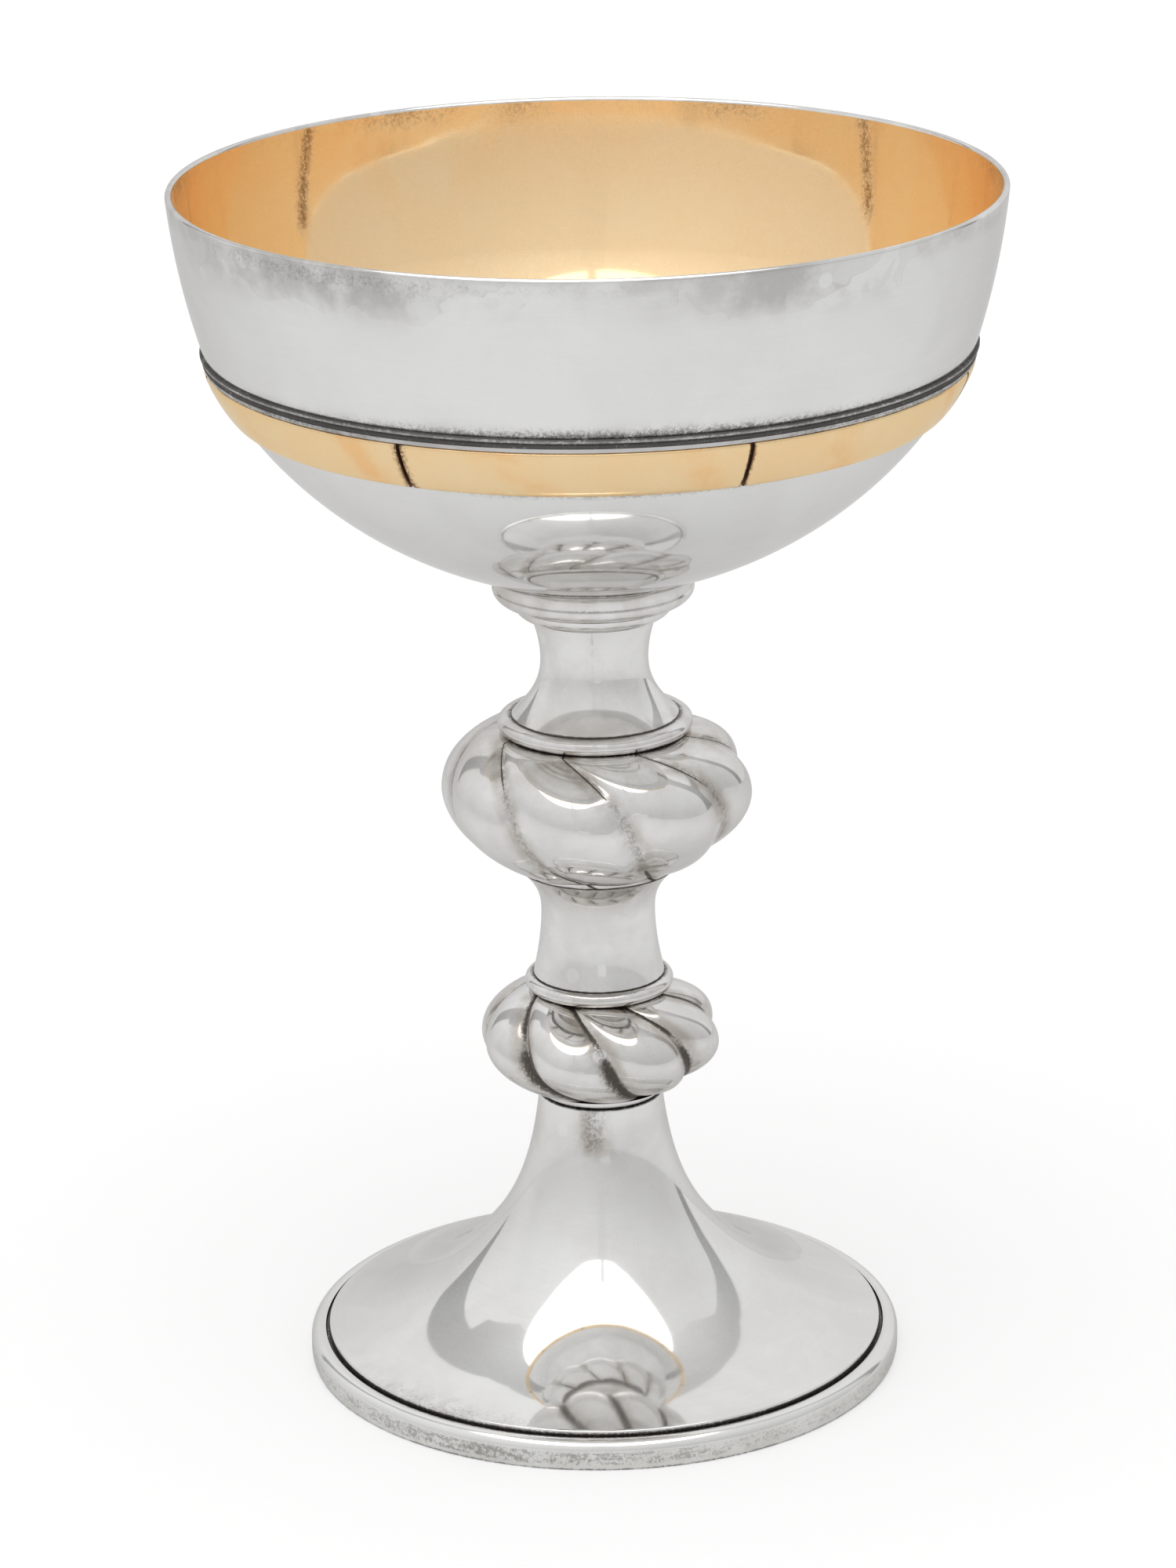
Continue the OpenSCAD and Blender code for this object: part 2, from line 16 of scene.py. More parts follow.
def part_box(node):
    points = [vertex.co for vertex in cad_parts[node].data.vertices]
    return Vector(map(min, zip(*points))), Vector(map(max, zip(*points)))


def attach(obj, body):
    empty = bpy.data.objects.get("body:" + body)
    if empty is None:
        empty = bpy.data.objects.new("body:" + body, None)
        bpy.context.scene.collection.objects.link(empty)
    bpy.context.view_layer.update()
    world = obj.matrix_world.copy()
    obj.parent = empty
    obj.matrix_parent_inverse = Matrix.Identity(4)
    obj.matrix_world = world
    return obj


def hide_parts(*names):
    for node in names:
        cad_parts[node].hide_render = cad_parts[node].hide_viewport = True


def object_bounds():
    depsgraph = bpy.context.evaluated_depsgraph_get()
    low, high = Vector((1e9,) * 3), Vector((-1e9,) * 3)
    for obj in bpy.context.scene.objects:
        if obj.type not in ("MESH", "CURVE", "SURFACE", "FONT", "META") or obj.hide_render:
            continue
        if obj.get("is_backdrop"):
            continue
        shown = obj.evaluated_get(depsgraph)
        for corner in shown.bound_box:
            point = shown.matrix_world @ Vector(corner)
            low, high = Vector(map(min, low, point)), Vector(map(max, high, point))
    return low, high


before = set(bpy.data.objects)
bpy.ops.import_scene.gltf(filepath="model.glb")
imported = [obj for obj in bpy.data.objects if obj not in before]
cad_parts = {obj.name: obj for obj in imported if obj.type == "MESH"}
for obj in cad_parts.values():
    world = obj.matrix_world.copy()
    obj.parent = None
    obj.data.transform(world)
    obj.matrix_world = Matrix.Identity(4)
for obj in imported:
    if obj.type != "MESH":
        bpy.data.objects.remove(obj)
cad_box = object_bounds()
print("parts in the frame:", len(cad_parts))

# %% [markdown]
# ## Working in millimetres
# Silversmiths' sizes are easier to read in millimetres, and Blender works in metres, so every
# outline is written in millimetres and turned to metres once, when its mesh is made. The places
# along the axis are read from the frame, so a piece always stands where its solid stands.

# %% Places along the axis
MM = 0.001


def low(part):
    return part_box(part)[0].z / MM


def top(part):
    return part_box(part)[1].z / MM


def widest(part):
    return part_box(part)[1].y / MM


CUP_H = 62.6
CUP_Z = top("cup") - CUP_H
print(f"cup stands at {CUP_Z:.2f} mm, rim at {top('cup'):.2f} mm")
print(f"foot is {2 * widest('foot_moulding'):.1f} mm wide")

# %% [markdown]
# ## One way to turn a piece
# Nearly every part was spun or turned on a lathe, so one outline of [radius, height] points makes
# it. The operator `bmesh.ops.spin` sweeps the outline round the axis, and `use_merge` joins the
# last step to the first. Real turned metal has no knife edges, so each sharp corner of the outline
# is first cut back to a small curve. The alternative, a Bevel modifier, would round the same
# corners, but here one number per piece says how worn its edges are.


# %% Helpers for turned work
def rounded(outline, reach=0.12, limit=25):
    """The closed outline with each corner sharper than limit degrees cut to a curve."""
    points = [Vector(p) for p in outline]
    points = [p for i, p in enumerate(points) if (p - points[i - 1]).length > 1e-4]
    out = []
    for i, p in enumerate(points):
        before, after = points[i - 1] - p, points[(i + 1) % len(points)] - p
        turn = 180 - degrees(before.angle(after))
        if turn < limit or p.x < 1e-6:
            out.append(p)
            continue
        a = p + before.normalized() * min(reach, before.length * 0.4)
        b = p + after.normalized() * min(reach, after.length * 0.4)
        for s in (0, 0.25, 0.5, 0.75, 1):
            out.append(a * (1 - s) ** 2 + p * 2 * s * (1 - s) + b * s ** 2)
    return out


def mesh_of(bm, name):
    mesh = bpy.data.meshes.new(name)
    bm.to_mesh(mesh)
    bm.free()
    return mesh


def placed(name, data):
    thing = bpy.data.objects.new(name, data)
    bpy.context.scene.collection.objects.link(thing)
    return thing


def new_piece(bm, rule, part, made, crease=35):
    """Makes a part from a bmesh, smooth but for its sharp edges, and rides it on the frame.
    rule says where its metal has darkened, as the next cells explain."""
    if rule:
        darken(bm, rule)
    bmesh.ops.remove_doubles(bm, verts=bm.verts[:], dist=1e-7)
    bmesh.ops.recalc_face_normals(bm, faces=bm.faces[:])
    mesh = mesh_of(bm, f"{part}_{made}")
    mesh.shade_smooth()
    mesh.set_sharp_from_angle(angle=radians(crease))
    piece = placed(mesh.name, mesh)
    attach(piece, "root")
    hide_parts(part)
    print(f"{mesh.name}: {len(mesh.polygons)} faces")
    return piece


def spun(outline, steps=192):
    """A bmesh of a closed outline of [radius, height] points in millimetres, turned about Z."""
    bm = bmesh.new()
    verts = [bm.verts.new((p[0] * MM, 0, p[1] * MM)) for p in outline]
    edges = [bm.edges.new((verts[i - 1], verts[i])) for i in range(len(verts))]
    bmesh.ops.spin(bm, geom=verts + edges, axis=(0, 0, 1), cent=(0, 0, 0), dvec=(0, 0, 0),
                   angle=tau, steps=steps, use_merge=True, use_duplicate=False)
    bmesh.ops.dissolve_degenerate(bm, dist=1e-8, edges=bm.edges[:])
    return bm


# %% [markdown]
# ## Where the metal has darkened
# Silver darkens first where a cloth can't reach: in grooves, under ledges and along joints. Each
# vertex of a piece therefore carries two numbers. `oxide` is the hard black-brown sulphide in the
# corners and `tarnish` is the thin warm film on open metal. In two places they carry painted light
# as well: painted reflections of the tent's dark gaps in the gilt lining, and the girdle wire's
# lip, left bright in front as a painted highlight. A formula of radius, height and angle sets them,
# and the materials later break them up into specks.


# %% Helpers for darkening
def smooth(x, a, b):
    """0 below a, 1 above b and an even curve between; a may be the larger."""
    t = min(1, max(0, (x - a) / (b - a)))
    return t * t * (3 - 2 * t)


def near(x, place, reach):
    """1 at the place, fading to 0 at the reach on both sides."""
    return smooth(abs(x - place), reach, 0)


def darken(bm, rule):
    """rule(radius, height, angle) gives (oxide, tarnish). Sizes are in millimetres and angles in
    degrees from +X, so the front is at -90."""
    oxide = bm.verts.layers.float.new("oxide")
    tarnish = bm.verts.layers.float.new("tarnish")
    for v in bm.verts:
        x, y, z = v.co / MM
        v[oxide], v[tarnish] = rule(hypot(x, y), z, degrees(atan2(y, x)))


# %% [markdown]
# ## The cup's outline
# The cup was raised from one sheet. Its lower bowl follows a slightly pointed ellipse, and its
# upper wall leans out from the girdle to the rim with a faint bow. These are the same two curves
# as the solid's. The hammer leaves more metal at the girdle, where the wire is soldered on, so the
# inside has no kink there: it is one smooth curve, and it mirrors the opening as one clean oval.

# %% Curves of the cup
BOWL_HALF_W = 63.06
BOWL_DEPTH = 57.2
BOWL_CURVE = 2 / 1.9
GIRDLE_H = 36.3
WIRE_H = 2.1
WALL_BOW = 0.8
RIM_R = 63.46
CUP_WALL = 0.85
GILT = 0.2
WALL_H = GIRDLE_H + WIRE_H
SWELL, SWELL_FROM, SWELL_POWER = 0.95, 56, 1.82


def bowl_point(t, inset=0.0):
    """A point of the bowl at the angle t from its bottom, moved in by inset."""
    return [(BOWL_HALF_W - inset) * sin(t) ** BOWL_CURVE,
            BOWL_DEPTH - (BOWL_DEPTH - inset) * max(0, cos(t)) ** BOWL_CURVE]


def bowl_angle(h, inset=0.0):
    return acos(((BOWL_DEPTH - h) / (BOWL_DEPTH - inset)) ** (1 / BOWL_CURVE))


def bowl_height(r):
    t = asin((r / BOWL_HALF_W) ** (1 / BOWL_CURVE))
    return bowl_point(t)[1]


GIRDLE_R = bowl_point(bowl_angle(GIRDLE_H))[0]


def wall_radius(h):
    u = (h - GIRDLE_H) / (CUP_H - GIRDLE_H)
    return GIRDLE_R + (RIM_R - GIRDLE_R) * u + 4 * WALL_BOW * u * (1 - u)


def spread(a, b, steps):
    return [a + (b - a) * i / steps for i in range(steps + 1)]


def thicker(h):
    """Extra thickness towards the girdle, so that the inside runs on in one smooth curve."""
    return SWELL * max(0, (SWELL_FROM - h) / (SWELL_FROM - GIRDLE_H)) ** SWELL_POWER


def inside_line(inset, h_top):
    """The cup's inside at a thickness, from the axis up to a height."""
    thick = inset + thicker(GIRDLE_H)
    bowl = [bowl_point(t, thick) for t in spread(0, bowl_angle(GIRDLE_H, thick), 60)]
    wall = [[wall_radius(h) - inset - thicker(h), h] for h in spread(WALL_H, h_top, 40)]
    return bowl + wall


def lifted(outline, z):
    return [(r, h + z) for r, h in outline]


print(f"girdle radius {GIRDLE_R:.2f} mm, rim radius {wall_radius(CUP_H):.2f} mm")

# %% [markdown]
# ## The silver cup
# The wall is under a millimetre thick and ends in a fully rounded rim that was left bare when the
# inside was gilt. Its outside is closely stepped just above and below the girdle, because the
# soot-like fringe of sulphide there is only a millimetre or two high.

# %% Make the cup
RIM_T = CUP_WALL + GILT
GILT_TOP = CUP_H - 0.5
BAND_H = 7.4
BOSS_R = 5.0
COLLAR_SEAM_R = 17.3

rim_c = CUP_H - RIM_T / 2
seat_low = bowl_angle(GIRDLE_H - BAND_H)
outside = [[0, bowl_height(BOSS_R)]]
outside += [bowl_point(t) for t in spread(bowl_angle(bowl_height(BOSS_R)), seat_low, 70)]
outside += [bowl_point(t) for t in spread(seat_low, bowl_angle(GIRDLE_H), 16)[1:]]
outside += [[wall_radius(h), h] for h in spread(WALL_H, WALL_H + 5, 20)]
outside += [[wall_radius(h), h] for h in spread(WALL_H + 5, rim_c, 30)[1:]]
rim = [[wall_radius(rim_c) - RIM_T / 2 * (1 - cos(a)), rim_c + RIM_T / 2 * sin(a)]
       for a in spread(0, pi, 10)[1:-1]]
rebate = [[wall_radius(GILT_TOP) - thick, GILT_TOP] for thick in (RIM_T, CUP_WALL)]
inside = inside_line(CUP_WALL, GILT_TOP - 0.3)
cup_bm = spun(lifted(outside + rim + rebate + inside[::-1], CUP_Z))


def cup_dark(r, z, angle):
    """A fringe above and below the girdle, and films and specks that hang from the rim."""
    h = z - CUP_Z
    drop = CUP_H - h
    band_low = GIRDLE_H - BAND_H
    wave = 0.5 + 0.5 * sin(radians(angle * 3 + 40))
    front = near(angle, -84, 75)
    above = smooth(h - WALL_H, 1.6 + 1.2 * front + 0.5 * wave, -0.2) if h > GIRDLE_H else 0
    below = smooth(h, band_low - 1.2 - wave, band_low - 0.1) if h < band_low else 0
    hidden = band_low <= h <= WALL_H
    left = near(angle, -126, 46) * smooth(drop, 10, 3)
    right = near(angle, -62, 30) * smooth(drop, 9, 4)
    rim_film = 0.45 * smooth(drop, 4, 1.5)
    specks = (0.2 + 0.18 * near(angle, -128, 38)) * smooth(drop, 5 + 2 * wave, 1.5)
    oxide = max((0.3 + 0.35 * front) * above, (0.25 + 0.3 * near(angle, -80, 50)) * below,
                0.2 * hidden, 0.8 * near(r, COLLAR_SEAM_R, 0.6), specks * smooth(drop, 0, 1))
    under = 0.2 * smooth(h, 20, 2)
    return oxide, max(left, 0.85 * right, rim_film, under, 0.9 * hidden, 0.5 * above)


cup = new_piece(cup_bm, cup_dark, "cup", "shell")

# %% [markdown]
# ## The gilding
# The inside was fire gilt and burnished. Real gilding is a few thousandths of a millimetre thick;
# here, as in the solid, it is a thin closed liner of its own, so that it can carry its own metal
# and stop in a clean line under the rim.

# %% Make the gilt lining
inner_skin = inside_line(RIM_T, GILT_TOP - 0.3)
lining_bm = spun(lifted(inside + rebate[::-1] + inner_skin[::-1], CUP_Z), 320)


def lining_dark(r, z, angle):
    """Two painted reflections: dark brown streaks at the back, which is at 90 degrees, where the
    tent's dark gaps would show in the gilding. Near the rim there are patches of film, and the rim
    is darker towards its left and right ends.
    """
    drop = CUP_H + CUP_Z - z
    film = smooth(drop, 18, 2) * (0.2 + 0.5 * near(angle, 120, 26))
    # Painted reflections of the tent's two dark gaps. These are streaks that slant with depth so
    # that they stand upright in the view.
    painted_gap_reflections = max(near(angle, 134.6 + 0.28 * drop, 2.8), near(angle, 45.5 - 0.22 * drop, 2.8))
    painted_gap_reflections *= 0.6 * smooth(drop, 19, 14)
    ends = near(abs(angle - 90), 90, 26)
    patches = 0.2 * near(angle, 118, 14) + 0.18 * near(angle, 100, 7) + 0.2 * near(angle, 68, 10)
    lip = smooth(drop, 7, 1) * (0.22 + patches + 0.25 * ends)
    return max(painted_gap_reflections, lip), max(film, painted_gap_reflections, ends * smooth(drop, 16, 6))


lining = new_piece(lining_bm, lining_dark, "gilt_lining", "skin")

# %% [markdown]
# ## The girdle: a dark wire over a gilt band
# A drawn wire with a thin bead, a hollow and a plain lip was soldered round the cup, and seven
# curved lengths of gilt moulding sit under it, end to end. The wire is turned like the rest. The
# band is turned in one piece and then cut: `bisect_plane` twice for each gap, with the metal
# between removed, leaves the same seven lengths as a saw would.

# %% Make the girdle wire
WIRE_T = 0.75


def wire_point(up, out):
    """A point of the wire's section, where up and out are shares of its height and thickness."""
    r = GIRDLE_R + (wall_radius(WALL_H) - GIRDLE_R) * up + WIRE_T * out
    return [r, GIRDLE_H + WIRE_H * up]


wire_section = [(0, 0), (0, 0.81), (0.06, 0.84), (0.24, 0.84), (0.3, 0.78)]
wire_section += [(0.3 + 0.32 * (1 - cos(a)) / 2, 0.78 - 0.36 * sin(a) ** 0.8)
                 for a in spread(0.35, 2.7, 7)]
wire_section += [(0.8 + 0.15 * sin(a), 0.45 + 0.32 * cos(a)) for a in spread(-1.5, 1.5, 9)]
wire_section += [(1, 0.35), (1, 0)]
wire_bm = spun(lifted([wire_point(*p) for p in wire_section], CUP_Z), 256)


def wire_dark(r, z, angle):
    """Dark all over but for the bead and the lip. The lip is rubbed partly bright all round, and
    its extra brightness in front, at -92 degrees, is a painted highlight where the lamp shows on
    its edge.
    """
    up = (z - CUP_Z - GIRDLE_H) / WIRE_H
    out = (r - wire_point(up, 0)[0]) / WIRE_T
    # The 0.38 share all round is wear; the extra 0.44 in front is a painted highlight.
    lip = smooth(out, 0.6, 0.76) * (0.38 + 0.44 * near(angle, -92, 45)) if up < 0.4 else 0
    bead = 0.4 * smooth(out, 0.6, 0.76) if up > 0.6 else 0
    return 0.8 - max(lip, bead), 1 - lip


wire = new_piece(wire_bm, wire_dark, "girdle_wire", "turned")

# %% Make the gilt band and saw it into lengths
BAND_T = 1.05
BAND_COUNT = 7
BAND_GAP = 0.5
FIRST_GAP = 23.2 - 90

seat = [bowl_point(t) for t in spread(seat_low, bowl_angle(GIRDLE_H), 16)]
shares = [0.004, 0.012, 0.03, 0.06] + spread(0.1, 0.9, 16) + [0.94, 0.97, 0.988, 0.996]
face = [bowl_point(seat_low + (bowl_angle(GIRDLE_H) - seat_low) * u,
                   -BAND_T * sin(pi * u) ** 0.16) for u in shares]
band_bm = spun(lifted(seat + face[::-1], CUP_Z))
for i in range(BAND_COUNT):
    way = radians(FIRST_GAP + i * 360 / BAND_COUNT)
    along = Vector((cos(way), sin(way), 0))
    across = Vector((-sin(way), cos(way), 0))
    for side in (-1, 1):
        whole = band_bm.verts[:] + band_bm.edges[:] + band_bm.faces[:]
        bmesh.ops.bisect_plane(band_bm, geom=whole, dist=1e-7, plane_no=across,
                               plane_co=across * side * BAND_GAP / 2 * MM)
    gap = [f for f in band_bm.faces
           if abs(f.calc_center_median().dot(across)) < BAND_GAP / 2 * MM
           and f.calc_center_median().dot(along) > 0]
    bmesh.ops.delete(band_bm, geom=gap, context="FACES")
sawn = [e for e in band_bm.edges if e.is_boundary]
ends = bmesh.ops.holes_fill(band_bm, edges=sawn, sides=0)["faces"]
bmesh.ops.bevel(band_bm, geom=[e for f in ends for e in f.edges], offset=0.08 * MM, segments=2,
                profile=0.5, affect="EDGES", material=-1, clamp_overlap=True)


def band_dark(r, z, angle):
    """Brown in the saw gaps, with a slanting stain on both sides of each."""
    step = 360 / BAND_COUNT
    off = (angle - FIRST_GAP + step / 2) % step - step / 2
    gap_mm = abs(radians(off)) * r
    h = z - CUP_Z
    edges = 0.3 * near(h, GIRDLE_H - BAND_H, 0.3)
    slant = off + 0.5 * (h - GIRDLE_H)
    stain = near(slant, -9, 4) * 0.9 + near(slant, 16, 8) * 0.8 + 0.15
    return max(smooth(gap_mm, 0.42, 0.28), edges), min(1, stain)


band = new_piece(band_bm, band_dark, "gilt_band", "lengths")

# %% [markdown]
# ## The applied cross
# A small plain cross was soldered to the wall, off to one side. Its two arms are drawn as a few
# faces on a flat grid, given thickness, and then each vertex is laid on the curve of the wall, so
# the cross bends with the cup as the real one does.

# %% Make the cross
CROSS_H, CROSS_W, CROSS_BAR, CROSS_T = 9, 6, 1.6, 0.6
CROSS_TOP = CUP_H - 2.8
CROSS_TURN = 14

cross_bm = bmesh.new()
columns = [-CROSS_W / 2, -CROSS_BAR / 2, 0, CROSS_BAR / 2, CROSS_W / 2]
arm = CROSS_TOP - CROSS_H * 0.4
low_end = CROSS_TOP - CROSS_H
rows = [low_end] + spread(low_end + 1.2, arm, 3) + [arm + CROSS_BAR, CROSS_TOP]
grid = {(i, j): cross_bm.verts.new((0, across, up))
        for i, across in enumerate(columns) for j, up in enumerate(rows)}
for i in range(len(columns) - 1):
    for j in range(len(rows) - 1):
        if i in (1, 2) or j == len(rows) - 3:
            cross_bm.faces.new([grid[i, j], grid[i + 1, j], grid[i + 1, j + 1], grid[i, j + 1]])
bmesh.ops.delete(cross_bm, geom=[v for v in cross_bm.verts if not v.link_faces], context="VERTS")
raised = bmesh.ops.extrude_face_region(cross_bm, geom=cross_bm.faces[:])
for v in raised["geom"]:
    if isinstance(v, bmesh.types.BMVert):
        v.co.x = CROSS_T
outer_edges = [e for e in cross_bm.edges
               if e.calc_face_angle(0) > 1 and all(v.co.x > 0.1 for v in e.verts)]
bmesh.ops.bevel(cross_bm, geom=outer_edges, offset=0.18, segments=3, profile=0.5,
                affect="EDGES", material=-1)
for v in cross_bm.verts:
    depth, sideways, h = v.co
    r = wall_radius(h) + depth - 0.01
    way = radians(CROSS_TURN) + sideways / r
    v.co = Vector((r * cos(way), r * sin(way), h + CUP_Z)) * MM


def cross_dark(r, z, angle):
    """Dark where it meets the wall."""
    return smooth(r - wall_radius(z - CUP_Z), 0.3, 0.05), 0.4


cross = new_piece(cross_bm, cross_dark, "applied_cross", "relief")

# %% [markdown]
# ## Collar and stems
# Under the cup a flange with a rounded edge and a thin groove carries the bowl, on a quarter-round
# ring. The stems are waisted tubes with an end plate at each end. Their flares are power curves,
# which open slowly at the waist and quickly at the ends, as spun metal does.

# %% Make the flange and its ring
FLANGE_Z = low("collar_flange")
FLANGE_H = CUP_Z - FLANGE_Z
FLANGE_TOP_R, FLANGE_EDGE_R, FLANGE_UNDER_R = 17.4, 15.65, 12.7
FLANGE_EDGE_H, FLANGE_GROOVE, SEAT_GAP = 2.3, 0.25, 0.04
BORE = BOSS_R + 0.1


def quarter(r0, z0, r1, z1, upright=False, steps=12):
    """A quarter of an oval from (r0, z0) to (r1, z1) that sets off level, or upright."""
    turns = spread(0, pi / 2, steps)
    if upright:
        return [[r1 - (r1 - r0) * cos(a), z0 + (z1 - z0) * sin(a)] for a in turns]
    return [[r0 + (r1 - r0) * sin(a), z1 - (z1 - z0) * cos(a)] for a in turns]


# The hollow over the edge is a quarter-round sheared along the slope of the bowl above it.
hollow_r = FLANGE_EDGE_R - FLANGE_GROOVE
flange_top = FLANGE_H + bowl_height(FLANGE_TOP_R) - SEAT_GAP
rise = bowl_height(FLANGE_TOP_R) - bowl_height(hollow_r)
slope = rise / (FLANGE_TOP_R - hollow_r)
hollow_line = [[r, z + slope * (r - hollow_r)] for r, z in quarter(
    hollow_r, FLANGE_EDGE_H + 2 * FLANGE_GROOVE, FLANGE_TOP_R, flange_top - 0.2 - rise,
    upright=True)]
dish = [[r, FLANGE_H + bowl_height(r) - SEAT_GAP] for r in spread(FLANGE_TOP_R, BORE, 24)]
flange_line = [[BORE, 0]] + quarter(FLANGE_UNDER_R, 0, FLANGE_EDGE_R, FLANGE_EDGE_H)
flange_line += [[hollow_r, FLANGE_EDGE_H + FLANGE_GROOVE]] + hollow_line + dish
flange_bm = spun(rounded(lifted(flange_line, FLANGE_Z), 0.08))


def flange_dark(r, z, angle):
    h = z - FLANGE_Z
    front = 0.5 + 0.5 * near(angle, -88, 45)
    groove = 0.45 * front * near(h, FLANGE_EDGE_H + FLANGE_GROOVE, 0.35) if r > 14 else 0
    lip = 0.75 * smooth(h, flange_top - 0.3, flange_top) if r > 16.6 else 0
    under = 0.5 * front * smooth(r, FLANGE_UNDER_R + 0.4, FLANGE_UNDER_R) if h < 1 else 0
    return max(groove, lip, under), 0.6


flange = new_piece(flange_bm, flange_dark, "collar_flange", "turned")

RING_Z, RING_H = low("collar_ring"), 2.4
ring_bm = spun(rounded(lifted(
    [[BORE, 0]] + quarter(9.75, 0, 12.45, RING_H) + [[BORE, RING_H]], RING_Z), 0.08))


def ring_dark(r, z, angle):
    h = z - RING_Z
    front = 0.5 + 0.5 * near(angle, -84, 50)
    return 0.4 * front * max(smooth(h, RING_H - 0.3, RING_H - 0.05), smooth(r, 10.1, 9.8)), 0.5


collar_ring = new_piece(ring_bm, ring_dark, "collar_ring", "turned")


# %% Make the two stems
def waist_line(h, low_r, top_r, neck_r, neck_h, low_power, top_power):
    """The outside of a stem, with a power curve on each side of its neck."""
    line = []
    for z in spread(0, h, 48):
        if z < neck_h:
            flare = (low_r - neck_r) * ((neck_h - z) / neck_h) ** low_power
        else:
            flare = (top_r - neck_r) * ((z - neck_h) / (h - neck_h)) ** top_power
        line.append([neck_r + flare, z])
    return line


def set_in(line, t):
    """The line moved in by t, square to itself."""
    out = []
    for i, (r, z) in enumerate(line):
        a, b = Vector(line[max(0, i - 1)]), Vector(line[min(len(line) - 1, i + 1)])
        d = (b - a).normalized()
        out.append([r - t * d.y, z + t * d.x])
    return out


def stem_line(line, h, low_hole, top_hole, wall=1.2):
    """The closed outline of a hollow stem with a plate and a hole at each end."""
    cavity = [p for p in set_in(line, wall) if wall < p[1] < h - wall]
    return (line + [[top_hole, h], [top_hole, h - wall], [cavity[-1][0], h - wall]]
            + cavity[::-1] + [[cavity[0][0], wall], [low_hole, wall], [low_hole, 0]])


SPIGOT_HOLE = 5.1
UPPER_Z, UPPER_H = low("upper_stem"), 16.0
upper_line = waist_line(UPPER_H, low_r=13.2, top_r=9.75, neck_r=8.38, neck_h=9.2,
                        low_power=2.2, top_power=1.85)
upper_bm = spun(rounded(lifted(stem_line(upper_line, UPPER_H, SPIGOT_HOLE, BORE), UPPER_Z), 0.1))


def upper_dark(r, z, angle):
    h = z - UPPER_Z
    drips = 0.34 * near(angle, -92, 4) * smooth(h, 5, 8)
    drips += 0.26 * near(angle, -66, 12) * near(h, 5.5, 3)
    ends = max(smooth(h, 0.35, 0.05), 0.5 * smooth(h, UPPER_H - 0.3, UPPER_H - 0.05))
    return max(drips, ends), 0.25 + 0.3 * smooth(h, 3, 0)


upper_stem = new_piece(upper_bm, upper_dark, "upper_stem", "turned")

MIDDLE_Z, MIDDLE_H = low("middle_stem"), 18.1
ROD_HOLE = 3.25
KNOP_HOLE = 8.0
SPIGOT, SPIGOT_R = 1.0, KNOP_HOLE - 0.1
middle_line = waist_line(MIDDLE_H, low_r=10.4, top_r=12.7, neck_r=8.95, neck_h=10.5,
                         low_power=1.85, top_power=2.4)
collar_up = [[SPIGOT_R, MIDDLE_H], [SPIGOT_R, MIDDLE_H + SPIGOT], [ROD_HOLE, MIDDLE_H + SPIGOT]]
middle_loop = stem_line(middle_line, MIDDLE_H, SPIGOT_HOLE, ROD_HOLE)
middle_loop[len(middle_line):len(middle_line) + 1] = collar_up
middle_bm = spun(rounded(lifted(middle_loop, MIDDLE_Z), 0.1))


def middle_dark(r, z, angle):
    h = z - MIDDLE_Z
    ends = max(smooth(h, 0.4, 0.05), 0.8 * smooth(h, MIDDLE_H - 0.6, MIDDLE_H - 0.1))
    return ends, 0.25 + 0.3 * smooth(h, 12, 18)


middle_stem = new_piece(middle_bm, middle_dark, "middle_stem", "turned")

# %% [markdown]
# ## Rings and bead between the parts
# Three flat rings with half-round edges hide the joints. Each has a short spigot on both sides
# that keeps the parts centred on the tie rod, so the whole stem can be drawn tight.

# %% Make the rings
def make_ring(part, z, h, outer, spigots, seams):
    """spigots and seams hold a low and a top radius; at a seam stands the next part's edge."""
    edge = [[outer - h / 2 * (1 - cos(a)), h / 2 + h / 2 * sin(a)]
            for a in spread(-pi / 2, pi / 2, 18)]
    flat_to = outer - h / 2
    loop = [[ROD_HOLE, -SPIGOT], [spigots[0], -SPIGOT], [spigots[0], 0]]
    loop += [[seams[0] + off, 0] for off in (0, 0.2, 0.45) if seams[0] + off < flat_to] + edge
    loop += [[seams[1] + off, h] for off in (0.45, 0.2, 0) if seams[1] + off < flat_to]
    loop += [[spigots[1], h], [spigots[1], h + SPIGOT], [ROD_HOLE, h + SPIGOT]]

    def ring_dark(r, top_z, angle):
        wide = 0.2 + 0.3 * sin(radians(angle * 2 + 100)) ** 2
        up = top_z - z
        on_top = smooth(r, seams[1] + 2 * wide, seams[1] + 0.1) * smooth(up, h - 0.5, h - 0.1)
        return 0.65 * max(on_top, smooth(up, 0.05 + 0.4 * wide, 0)), 0.5

    bm = spun(rounded(lifted(loop, z), 0.1), 256)
    return new_piece(bm, ring_dark, part, "turned")


rings = [
    make_ring("upper_knop_ring", z=top("upper_knop"), h=2.5, outer=15.2,
              spigots=(SPIGOT_R, 5.0), seams=(13.9, 13.2)),
    make_ring("lower_knop_ring", z=top("lower_knop"), h=2.3, outer=11.7,
              spigots=(SPIGOT_R, 5.0), seams=(10.5, 10.4)),
    make_ring("neck_bead", z=top("foot"), h=1.8, outer=9.85,
              spigots=(7.5, SPIGOT_R), seams=(8.9, 8.8))]

# %% [markdown]
# ## The swirled knops
# Each knop was raised in two halves and chased into eight lobes that lean as they climb. A plain
# knop is spun first. Then every vertex is moved: its radius follows the round outline of a lobe,
# and it turns about the axis by an amount that grows towards both ends. Neighbouring lobes run
# together in a soft valley at the middle, and the chased groove only gets crisp near the ends,
# where the punch was driven deeper. Steps crowd towards the valleys, so they stay smooth.

# %% Shape of a lobed knop
LOBES = 8
PITCH = tau / LOBES


def round_share(u, reach, power):
    return (1 - (abs(u) / reach) ** power) ** (1 / power)


